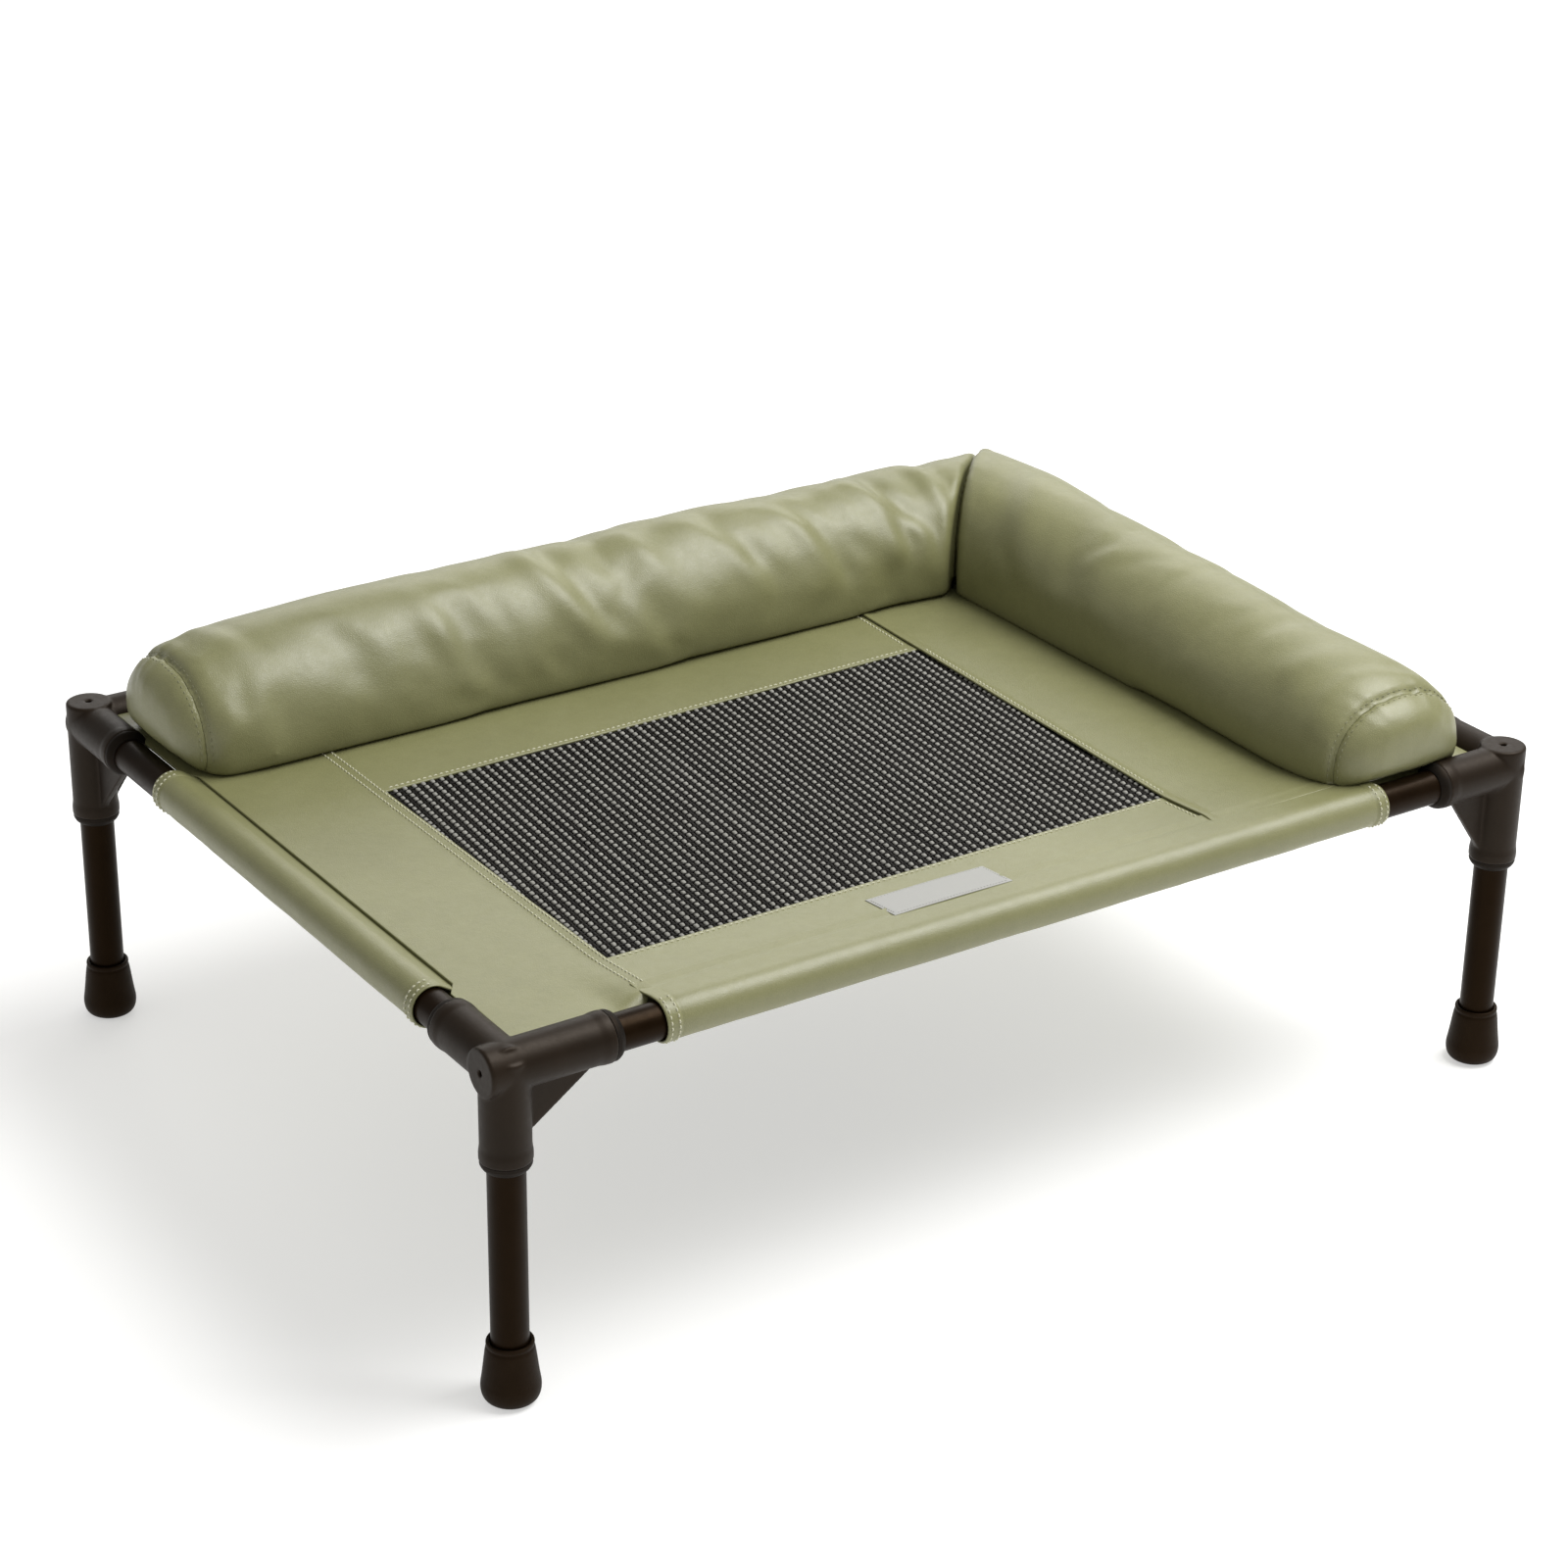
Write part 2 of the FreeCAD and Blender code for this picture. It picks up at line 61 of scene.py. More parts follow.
RAIL_Z = sum(corner.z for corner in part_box("rail_front")) / 2
RAIL_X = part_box("rail_right")[1].x - (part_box("rail_right")[1].z - RAIL_Z)
RAIL_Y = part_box("rail_back")[1].y - (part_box("rail_back")[1].z - RAIL_Z)
TUBE_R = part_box("rail_front")[1].z - RAIL_Z
DECK_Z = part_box("deck_left_panel")[1].z
LEATHER = DECK_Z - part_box("deck_left_panel")[0].z
DECK_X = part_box("deck_right_panel")[1].x
DECK_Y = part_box("deck_right_panel")[1].y
SEAM_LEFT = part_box("deck_front_panel")[0].x
SEAM_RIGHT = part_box("deck_front_panel")[1].x
WINDOW_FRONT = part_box("deck_front_panel")[1].y
WINDOW_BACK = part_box("deck_back_panel")[0].y
SLEEVE_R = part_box("sleeve_front")[1].z - RAIL_Z

RIGHT_CENTRE = sum(corner.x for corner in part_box("bolster_right_cover")) / 2
BACK_CENTRE = sum(corner.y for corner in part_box("bolster_back_cover")) / 2
MITRE = RIGHT_CENTRE - BACK_CENTRE

SEAM_LEAN = 0.038              # the right seam and the window's side run outwards to the back
WINDOW_LEAN = 0.027            # the window's back edge runs back to the right
SIDE_RISE = 1.2 * MM           # of the deck from the window's side to its sewn edge
CORNER_SAG = 0.9 * MM          # of the leather in the two front corners, over these distances
CORNER_SAG_X = (262 * MM, 300 * MM)
CORNER_SAG_Y = (205 * MM, 250 * MM)
FREE_REACH = {                 # of a free edge past the sewn line: to a tube and to a connector
    "front": (5.2 * MM, 1.3 * MM),
    "back": (5.2 * MM, 1.3 * MM),
    "left": (7.0 * MM, 3.2 * MM),
    "right": (5.5 * MM, 1.7 * MM),
}
SLEEVE_STEP = 1.1 * MM         # between a sleeve's points round the rail
ROUNDED_ABOVE = math.radians(50)   # a sheet's rim is rounded where it turns by more than this
CORNERS = ("front_left", "front_right", "back_left", "back_right")
BROWN_SHEEN = (1.0, 0.64, 0.36, 1.0)
FAINT_BROWN_SHEEN = (1.0, 0.86, 0.72, 1.0)


def smoothstep(value, low=0.0, high=1.0):
    t = np.clip((value - low) / (high - low), 0.0, 1.0)
    return t * t * (3 - 2 * t)


def seam_right_x(y):
    return SEAM_RIGHT + SEAM_LEAN * (y - WINDOW_FRONT)


def window_back_y(x):
    return WINDOW_BACK + WINDOW_LEAN * (x - SEAM_LEFT)


def noise_field(points, scale, seed=0.0):
    """Smooth noise from -1 to 1 at an array of points; scale is the size of its features."""
    flat = np.asarray(points, float).reshape(-1, 3) / scale + seed
    values = [noise.noise(Vector(point)) for point in flat]
    return np.array(values).reshape(np.asarray(points).shape[:-1])


def ridge(distance, width):
    """1 on a line, falling smoothly to 0 over about a width on both sides."""
    return np.exp(-((distance / width) ** 2))


def unit_rows(vectors):
    return vectors / np.linalg.norm(vectors, axis=1)[:, None]


def run_along(line):
    """Distance along a line from its first point to each of its points."""
    return np.concatenate([[0.0], np.cumsum(np.linalg.norm(np.diff(line, axis=0), axis=1))])


def at_distance(line, run, distance):
    """The values of a line's columns at one or many distances along it."""
    return np.stack([np.interp(distance, run, line[:, axis]) for axis in range(line.shape[1])], -1)


# ---------------------------------------------------------------- mesh helpers

def link_object(name, data):
    """Puts a new object in the scene."""
    made = bpy.data.objects.new(name, data)
    bpy.context.scene.collection.objects.link(made)
    return made


def shade_smooth(mesh, smooth=True):
    mesh.polygons.foreach_set("use_smooth", [smooth] * len(mesh.polygons))


def paint(mesh, look):
    """Gives a mesh one material in place of those it has."""
    mesh.materials.clear()
    mesh.materials.append(look)


@contextmanager
def edited(mesh):
    """Opens a mesh for editing and writes the changes back."""
    work = bmesh.new()
    work.from_mesh(mesh)
    yield work
    work.to_mesh(mesh)
    work.free()


def fix_normals(piece):
    with edited(piece.data) as work:
        bmesh.ops.recalc_face_normals(work, faces=work.faces)


def make_object(name, vertices, faces, material, smooth=True):
    mesh = bpy.data.meshes.new(name)
    mesh.from_pydata([tuple(vertex) for vertex in vertices], [], faces)
    mesh.validate()
    shade_smooth(mesh, smooth)
    mesh.materials.append(material)
    return link_object(name, mesh)


def grid_faces(rows, columns, wrap_columns=False, offset=0):
    """Quads of a grid of vertices stored row by row."""
    faces = []
    last = columns if wrap_columns else columns - 1
    for row in range(rows - 1):
        for column in range(last):
            near = offset + row * columns
            far = near + columns
            following = (column + 1) % columns
            faces.append((near + column, near + following, far + following, far + column))
    return faces


def tube_faces(rings, sides, first=0):
    """Faces of a closed tube whose rings of vertices start at an index."""
    last = first + (rings - 1) * sides
    start_cap = tuple(first + side for side in reversed(range(sides)))
    end_cap = tuple(last + side for side in range(sides))
    return [*grid_faces(rings, sides, wrap_columns=True, offset=first), start_cap, end_cap]


def apply_modifiers(piece):
    """Bakes a piece's modifiers into its mesh."""
    bpy.context.view_layer.update()
    graph = bpy.context.evaluated_depsgraph_get()
    mesh = bpy.data.meshes.new_from_object(piece.evaluated_get(graph), depsgraph=graph)
    piece.modifiers.clear()
    piece.data = mesh
    return piece


def add_modifier(piece, kind, **settings):
    modifier = piece.modifiers.new(kind.title(), kind)
    for name, value in settings.items():
        setattr(modifier, name, value)
    return modifier


def get_vectors(piece, attribute):
    """The points ("co") or the normals ("normal") of a piece's vertices."""
    values = np.zeros(len(piece.data.vertices) * 3)
    piece.data.vertices.foreach_get(attribute, values)
    return values.reshape(-1, 3)


def set_points(piece, points):
    piece.data.vertices.foreach_set("co", np.asarray(points, float).ravel())
    piece.data.update()


def settle(piece, slot, *nodes):
    """Ties a finished piece to the frame."""
    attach(piece, "root")
    if nodes:
        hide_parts(*nodes)
    return piece


def make_sheet(name, surface, across, along, thickness, material, rim=0.6 * MM):
    """A closed sheet whose top is surface(u, v) over two arrays, with a rounded rim."""
    u, v = np.meshgrid(across, along)
    top = surface(u, v)
    piece = make_object(name, top.reshape(-1, 3), grid_faces(len(along), len(across)), material)
    add_modifier(piece, "SOLIDIFY", thickness=thickness, offset=-1.0, use_even_offset=True)
    add_modifier(piece, "BEVEL", width=rim, segments=3, limit_method="ANGLE", angle_limit=ROUNDED_ABOVE)
    return apply_modifiers(piece)


def make_tube_along(paths, radii, sides, flatness=1.0):
    """Vertices and faces of closed strands along paths of points; radii may vary along them."""
    vertices, faces = [], []
    for path, radius in zip(paths, radii):
        path = np.asarray(path, float)
        heading = unit_rows(np.gradient(path, axis=0))
        side = unit_rows(np.cross(heading, (0, 0, 1.0)))
        up = np.cross(side, heading)
        first = len(vertices)
        for k, point in enumerate(path):
            for s in range(sides):
                angle = 2 * math.pi * s / sides
                out = side[k] * math.cos(angle) + up[k] * math.sin(angle) * flatness
                vertices.append(point + out * radius[k])
        faces += tube_faces(len(path), sides, first)
    return vertices, faces


# ---------------------------------------------------------------- materials

class Material:
    """A Principled material and the few node patterns that its maps are built from."""

    def __init__(self, name, **sockets):
        self.material = bpy.data.materials.new(name)
        self.material.use_nodes = True
        self.tree = self.material.node_tree
        self.shader = self.tree.nodes["Principled BSDF"]
        self.place = self.node("ShaderNodeTexCoord").outputs["Object"]
        for socket, value in sockets.items():
            self.shader.inputs[socket.replace("_", " ")].default_value = value

    def node(self, kind, **values):
        node = self.tree.nodes.new(kind)
        for name, value in values.items():
            if hasattr(node, name):
                setattr(node, name, value)
            else:
                node.inputs[name.replace("_", " ")].default_value = value
        return node

    def link(self, output, target):
        self.tree.links.new(output, target)

    def noise(self, scale, detail=3.0, roughness=0.5):
        node = self.node("ShaderNodeTexNoise", Scale=scale, Detail=detail, Roughness=roughness)
        self.link(self.place, node.inputs["Vector"])
        return node.outputs["Fac"]

    def cells(self, scale):
        """Fine leather cells: 0 in the creases between them."""
        node = self.node("ShaderNodeTexVoronoi", Scale=scale, feature="DISTANCE_TO_EDGE")
        self.link(self.place, node.inputs["Vector"])
        return node.outputs["Distance"]

    def waves(self, scale, direction, distortion=0.0):
        node = self.node("ShaderNodeTexWave", Scale=scale, Distortion=distortion, bands_direction=direction)
        self.link(self.place, node.inputs["Vector"])
        return node.outputs["Fac"]

    def between(self, factor, low, high):
        """Maps a factor of 0 to 1 to a number."""
        node = self.node("ShaderNodeMapRange", To_Min=low, To_Max=high)
        self.link(factor, node.inputs["Value"])
        return node.outputs["Result"]

    def tint(self, factor, stops):
        """Maps a factor to colours given as (place, (r, g, b))."""
        node = self.node("ShaderNodeValToRGB")
        ramp = node.color_ramp
        for index, (place, colour) in enumerate(stops):
            stop = ramp.elements[index] if index < 2 else ramp.elements.new(place)
            stop.position = place
            stop.color = (*colour, 1.0)
        self.link(factor, node.inputs["Fac"])
        return node.outputs["Color"]

    def blend(self, factor, first, second, kind="MULTIPLY"):
        node = self.node("ShaderNodeMix", data_type="RGBA", blend_type=kind)
        if isinstance(factor, float):
            node.inputs[0].default_value = factor
        else:
            self.link(factor, node.inputs[0])
        self.link(first, node.inputs[6])
        if isinstance(second, tuple):
            node.inputs[7].default_value = (*second, 1.0)
        else:
            self.link(second, node.inputs[7])
        return node.outputs[2]

    def colour(self, output):
        self.link(output, self.shader.inputs["Base Color"])

    def roughness(self, factor, low, high):
        self.link(self.between(factor, low, high), self.shader.inputs["Roughness"])

    def bump(self, height, distance, strength=1.0):
        """Adds a bump on top of those already there."""
        node = self.node("ShaderNodeBump", Strength=strength, Distance=distance)
        self.link(height, node.inputs["Height"])
        normal = self.shader.inputs["Normal"]
        if normal.is_linked:
            self.link(normal.links[0].from_socket, node.inputs["Normal"])
        self.link(node.outputs["Normal"], normal)

    def worn_edges(self, colour, lighter):
        """The colour, a little lighter where the surface turns sharply outwards."""
        edge = self.node("ShaderNodeNewGeometry").outputs["Pointiness"]
        mask = self.node("ShaderNodeMapRange", From_Min=0.52, From_Max=0.6, To_Min=0.0, To_Max=0.55)
        self.link(edge, mask.inputs["Value"])
        return self.blend(mask.outputs["Result"], colour, lighter, "MIX")


def leather_material():
    made = Material("green_leather", Specular_IOR_Level=0.5, Coat_Weight=0.24, Coat_Roughness=0.42)
    broad = made.noise(7.0, 3.0)
    shade = made.tint(broad, [(0.3, (0.186, 0.185, 0.081)), (0.7, (0.214, 0.212, 0.095))])
    mottle = made.tint(made.noise(90.0, 5.0, 0.65), [(0.25, (0.90, 0.90, 0.88)), (0.75, (1.0, 1.0, 1.0))])
    cells = made.cells(820.0)
    creases = made.tint(cells, [(0.0, (0.86, 0.86, 0.84)), (0.12, (1.0, 1.0, 1.0))])
    made.colour(made.blend(1.0, made.blend(1.0, shade, mottle), creases))
    made.roughness(made.noise(160.0, 4.0), 0.36, 0.52)
    made.bump(made.between(cells, 0.0, 1.0), 0.5 * MM, 0.35)
    made.bump(made.noise(260.0, 4.0), 0.35 * MM, 0.35)
    made.bump(made.noise(42.0, 2.0), 1.2 * MM, 0.18)
    return made.material


def plastic_material():
    made = Material("connector_plastic", Specular_IOR_Level=0.20, Specular_Tint=FAINT_BROWN_SHEEN)
    dark, light = (0.0080, 0.0044, 0.0020), (0.0120, 0.0070, 0.0036)
    shade = made.tint(made.noise(26.0, 4.0), [(0.3, dark), (0.7, light)])
    made.colour(made.worn_edges(shade, (0.036, 0.027, 0.019)))
    made.roughness(made.noise(320.0, 4.0), 0.40, 0.56)
    made.bump(made.noise(1700.0, 2.0), 0.12 * MM, 0.5)
    made.bump(made.noise(120.0, 2.0), 0.4 * MM, 0.12)
    return made.material


def tube_material():
    made = Material("tube_paint", Specular_IOR_Level=0.09, Specular_Tint=BROWN_SHEEN)
    scuffs = made.noise(60.0, 6.0, 0.7)
    made.colour(made.tint(scuffs, [(0.35, (0.0050, 0.0024, 0.0008)), (0.8, (0.0082, 0.0042, 0.0018))]))
    made.roughness(made.noise(210.0, 5.0), 0.28, 0.44)
    made.bump(made.noise(900.0, 2.0), 0.10 * MM, 0.35)
    return made.material


def rubber_material(name, dark, light, rough):
    made = Material(name, Specular_IOR_Level=0.12, Specular_Tint=BROWN_SHEEN)
    shade = made.tint(made.noise(70.0, 4.0), [(0.3, dark), (0.75, light)])
    made.colour(made.worn_edges(shade, tuple(value * 2.2 for value in light)))
    made.roughness(made.noise(420.0, 4.0), rough, rough + 0.14)
    made.bump(made.noise(1300.0, 3.0), 0.16 * MM, 0.5)
    return made.material


def thread_material(name, dark, light):
    made = Material(name, Specular_IOR_Level=0.35, Sheen_Weight=0.3)
    twist = made.waves(900.0, "DIAGONAL", 1.0)
    made.colour(made.tint(twist, [(0.1, dark), (0.8, light)]))
    made.roughness(made.noise(900.0, 2.0), 0.55, 0.75)
    made.bump(twist, 0.18 * MM, 0.5)
    return made.material


def yarn_material(name, dark, light, scale=1500.0):
    made = Material(name, Specular_IOR_Level=0.10)
    made.colour(made.tint(made.noise(scale / 6, 4.0, 0.7), [(0.3, dark), (0.75, light)]))
    made.roughness(made.noise(scale, 2.0), 0.45, 0.65)
    made.bump(made.noise(scale, 3.0), 0.14 * MM, 0.5)
    return made.material


def woven_material(name, dark, light, scale):
    """Plain woven cloth: two crossing sets of fine threads."""
    made = Material(name, Specular_IOR_Level=0.3, Sheen_Weight=0.2)
    across = made.waves(scale, "X", 0.6)
    along = made.waves(scale * 1.1, "Y", 0.6)
    weave = made.blend(0.5, across, along, "DIFFERENCE")
    made.colour(made.tint(weave, [(0.0, dark), (0.6, light)]))
    made.roughness(made.noise(400.0, 3.0), 0.6, 0.8)
    made.bump(across, 0.15 * MM, 0.4)
    made.bump(along, 0.15 * MM, 0.4)
    return made.material


LEATHER_LOOK = leather_material()
PLASTIC_LOOK = plastic_material()
TUBE_LOOK = tube_material()
RING_LOOK = rubber_material("ring_rubber", (0.004, 0.004, 0.004), (0.008, 0.0075, 0.007), 0.5)
FOOT_LOOK = rubber_material("foot_rubber", (0.0065, 0.0036, 0.0018), (0.0100, 0.0062, 0.0036), 0.46)
THREAD_LOOK = thread_material("seam_thread", (0.42, 0.415, 0.28), (0.64, 0.63, 0.47))
GREEN_THREAD_LOOK = thread_material("green_thread", (0.15, 0.15, 0.075), (0.27, 0.27, 0.15))
GREY_YARN_LOOK = yarn_material("mesh_grey_yarn", (0.19, 0.187, 0.170), (0.34, 0.335, 0.305))
BLACK_YARN_LOOK = yarn_material("mesh_black_yarn", (0.0034, 0.0027, 0.0020), (0.0088, 0.0074, 0.0058))
MESH_BASE_LOOK = woven_material("mesh_base_cloth", (0.002, 0.002, 0.002), (0.007, 0.007, 0.007), 160.0)
LABEL_LOOK = woven_material("label_cloth", (0.27, 0.27, 0.255), (0.38, 0.38, 0.36), 420.0)


# ---------------------------------------------------------------- frame

def dress_cad_nodes():
    """The tubes and the soft rings keep their CAD shapes."""
    for name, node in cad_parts.items():
        look = TUBE_LOOK if name.startswith(("rail_", "leg_")) else None
        if name == "socket_rings":
            look = RING_LOOK
        if look:
            paint(node.data, look)


def make_connectors():
    """Moulded corners: the CAD's shape with its edges and inner corners softened."""
    for corner in CORNERS:
        node = "connector_" + corner
        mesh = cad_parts[node].data.copy()
        with edited(mesh) as work:
            bmesh.ops.remove_doubles(work, verts=work.verts, dist=0.01 * MM)
        paint(mesh, PLASTIC_LOOK)
        piece = link_object("corner_" + corner, mesh)
        add_modifier(piece, "REMESH", mode="VOXEL", voxel_size=0.8 * MM, use_smooth_shade=True)
        add_modifier(piece, "SMOOTH", factor=0.5, iterations=5)
        add_modifier(piece, "DECIMATE", ratio=0.4)
        apply_modifiers(piece)
        shade_smooth(piece.data)
        settle(piece, "connector_plastic", node)


def rounded_outline(corners, rounds=3):
    """Cuts a profile's corners again and again, which leaves a smooth line; its ends stay."""
    line = np.array(corners, float)
    for _ in range(rounds):
        near = line[:-1] * 0.75 + line[1:] * 0.25
        far = line[:-1] * 0.25 + line[1:] * 0.75
        line = np.vstack([line[:1], np.stack([near, far], 1).reshape(-1, 2), line[-1:]])
    return line


def make_feet():
    """Rubber feet turned from one profile of (radius, height), with a soft tread and a thin rim."""
    for corner in CORNERS:
        node = "foot_" + corner
        low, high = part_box(node)
        centre = (low + high) / 2
        widest = (high.x - low.x) / 2
        height = high.z - low.z
        bore = TUBE_R + 0.05 * MM
        rim = bore + 2.3 * MM
        profile = rounded_outline([
            (0.0, 1.2 * MM), (6 * MM, 1.2 * MM), (7 * MM, 0.0), (widest - 5.5 * MM, 0.0),
            (widest - 1.2 * MM, 2.6 * MM), (widest + 0.35 * MM, 9 * MM), (widest - 1.0 * MM, 17 * MM),
            (rim + 0.9 * MM, height - 5 * MM), (rim + 0.1 * MM, height - 3.6 * MM),
            (rim + 0.1 * MM, height - 2.6 * MM), (rim + 0.5 * MM, height - 2.2 * MM),
            (rim + 0.3 * MM, height), (bore + 0.9 * MM, height),
            (bore, height - 1.2 * MM), (bore, height - 8 * MM),
        ])
        turns = 72
        angles = np.linspace(0, 2 * math.pi, turns, endpoint=False)
        vertices = [
            (centre.x + radius * math.cos(angle), centre.y + radius * math.sin(angle), low.z + up)
            for radius, up in profile[1:]
            for angle in angles
        ]
        faces = [tuple(reversed(face)) for face in grid_faces(len(profile) - 1, turns, wrap_columns=True)]
        vertices.append((centre.x, centre.y, low.z + profile[0][1]))
        hub = len(vertices) - 1
        faces += [(hub, (turn + 1) % turns, turn) for turn in range(turns)]
        piece = make_object("boot_" + corner, vertices, faces, FOOT_LOOK)
        fix_normals(piece)
        settle(piece, "foot_rubber", node)


# ---------------------------------------------------------------- deck

def tangent_slope():
    """Slope of the deck from the window's front edge up to the top of the sleeve on the front rail."""
    run = RAIL_Y + WINDOW_FRONT
    drop = DECK_Z - RAIL_Z
    distance = math.hypot(run, drop)
    return math.tan(math.asin(SLEEVE_R / distance) - math.atan2(drop, run))


FRONT_SLOPE = tangent_slope()


def beside_sleeve(place, side):
    """1 along a sleeve and 0 past its ends, where the leather hangs free between the tubes."""
    low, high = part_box("sleeve_" + side)
    axis = 0 if side in ("front", "back") else 1
    inside = np.minimum(place - low[axis], high[axis] - place)
    return smoothstep(inside, -20 * MM, 2 * MM)


def free_reach(place, side):
    """How far the leather's free edge reaches past the sewn line, towards a tube or a connector."""
    to_tube, to_connector = FREE_REACH[side]
    place = np.asarray(place, float)
    low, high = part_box("sleeve_" + side)
    axis = 0 if side in ("front", "back") else 1
    past = np.maximum(low[axis] - place, place - high[axis])
    mouths = -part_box("connector_front_left")[1][axis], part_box("connector_back_right")[0][axis]
    mouth = np.where(place < 0, mouths[0], mouths[1])
    beside = smoothstep(np.abs(place), mouth - 4 * MM, mouth - 0.5 * MM)
    reach = to_tube * (1 - beside) + to_connector * beside
    return reach * smoothstep(past, -5 * MM, -1 * MM)


def deck_height(x, y):
    """Height of the leather's top, before the small waves that each panel adds."""
    front = np.maximum(WINDOW_FRONT - y, 0.0) * FRONT_SLOPE * beside_sleeve(x, "front")
    front = front * (1 - smoothstep(-y, DECK_Y, DECK_Y + 4 * MM))
    sag = CORNER_SAG * smoothstep(np.abs(x), *CORNER_SAG_X)
    front = front - sag * smoothstep(-y, *CORNER_SAG_Y)
    left = np.maximum(SEAM_LEFT - x, 0.0) / (DECK_X + SEAM_LEFT) * SIDE_RISE
    right = np.maximum(x - SEAM_RIGHT, 0.0) / (DECK_X - SEAM_RIGHT) * SIDE_RISE
    return DECK_Z + front + left + right


def soft_waves(x, y, depth, seed):
    """Slight unevenness of stretched leather; it dies out at the sewn outer edges."""
    place = np.stack([x, y, np.zeros_like(x)], -1)
    waves = noise_field(place, 70 * MM, seed) + 0.35 * noise_field(place, 24 * MM, seed + 9)
    edge = np.minimum(DECK_X - np.abs(x), DECK_Y - np.abs(y))
    return waves * depth * smoothstep(edge, 0.0, 30 * MM)


def graded(low, high, fine, coarse, band):
    """Positions from low to high: fine steps within a band of both ends, coarse ones between."""
    near = np.arange(low, low + band, fine)
    far = np.arange(high, high - band, -fine)[::-1]
    middle = np.linspace(low + band, high - band, max(2, int((high - low - 2 * band) / coarse)))
    return np.unique(np.round(np.concatenate([near, middle[1:-1], far]), 7))


def panel(name, left, right, front, back, lifts, depth, seed):
    """A leather panel between four sides, given as functions, with its edges lifted on the seams.

    lifts holds how high each side stands on what it overlaps: (left, right, front, back).
    """
    share_x = graded(0.0, 1.0, 0.008, 0.03, 0.06)
    share_y = graded(0.0, 1.0, 0.008, 0.02, 0.06)

    def surface(u, v):
        y = front(0.0) + v * (back(0.0) - front(0.0))
        x = left(y) + u * (right(y) - left(y))
        y = front(x) + v * (back(x) - front(x))
        x = left(y) + u * (right(y) - left(y))
        z = deck_height(x, y) + soft_waves(x, y, depth, seed)
        ends = smoothstep(DECK_Y - np.abs(y), 1 * MM, 12 * MM)
        for lift, away in zip(lifts, (x - left(y), right(y) - x, y - front(x), back(x) - y)):
            near = 1 - smoothstep(away, 0.6 * MM, 8.5 * MM if lift < 0 else 11 * MM)
            z = z + lift * near * ends
        return np.stack([x, y, z], -1)

    piece = make_sheet(name, surface, share_x, share_y, LEATHER, LEATHER_LOOK)
    width, length = right(0.0) - left(0.0), back(0.0) - front(0.0)
    settle(piece, "green_leather")
    return piece


def make_deck():
    """The four panels: the left and right ones lap over the front and back ones."""
    crease = 1.1 * MM
    tuck = 8 * MM
    lap = 1.9 * MM
    hem = 0.35 * MM

    def at(value):
        return lambda other: value + 0.0 * np.asarray(other, float)

    def outer_front(x):
        return -DECK_Y - free_reach(x, "front")

    def outer_back(x):
        return DECK_Y + free_reach(x, "back")

    def outer_left(y):
        return -DECK_X + 1.5 * MM - free_reach(y, "left")

    def outer_right(y):
        return DECK_X + free_reach(y, "right")

    def tucked_right(y):
        return seam_right_x(y) + tuck

    tucked_left = at(SEAM_LEFT - tuck)

    plan = (
        # side, its left, right, front and back edges, lifts, depth of the waves, seed
        ("left", outer_left, at(SEAM_LEFT), outer_front, outer_back,
         (0, crease, 0, 0), 0.30 * MM, 1.0),
        ("front", tucked_left, tucked_right, at(-DECK_Y), at(WINDOW_FRONT),
         (0, -lap, 0, hem), 0.15 * MM, 4.0),
        ("back", tucked_left, tucked_right, window_back_y, at(DECK_Y),
         (0, -lap, hem, 0), 0.25 * MM, 7.0),
        ("right", seam_right_x, outer_right, outer_front, outer_back,
         (lap, 0, 0, 0), 0.30 * MM, 11.0),
    )
    for side, left, right, front, back, lifts, depth, seed in plan:
        piece = panel("leather_" + side, left, right, front, back, lifts, depth, seed)
        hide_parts(f"deck_{side}_panel")


def make_mesh_window():
    """A black cloth with grey and black yarns woven on it, sewn under the leather."""
    low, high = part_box("mesh_window")
    cloth_top = DECK_Z - LEATHER - 0.5 * MM
    across = np.linspace(low.x, high.x + 8 * MM, 60)
    along = np.linspace(low.y, high.y + 8 * MM, 40)

    def cloth(u, v):
        z = np.minimum(deck_height(u, v) - LEATHER - 0.5 * MM, cloth_top + 0.4 * MM)
        return np.stack([u, v, z], -1)

    base = make_sheet("mesh_window_cloth", cloth, across, along, 0.4 * MM, MESH_BASE_LOOK, rim=0.1 * MM)
    settle(base, "mesh_fabric", "mesh_window")
    yarns = make_yarns(cloth_top)


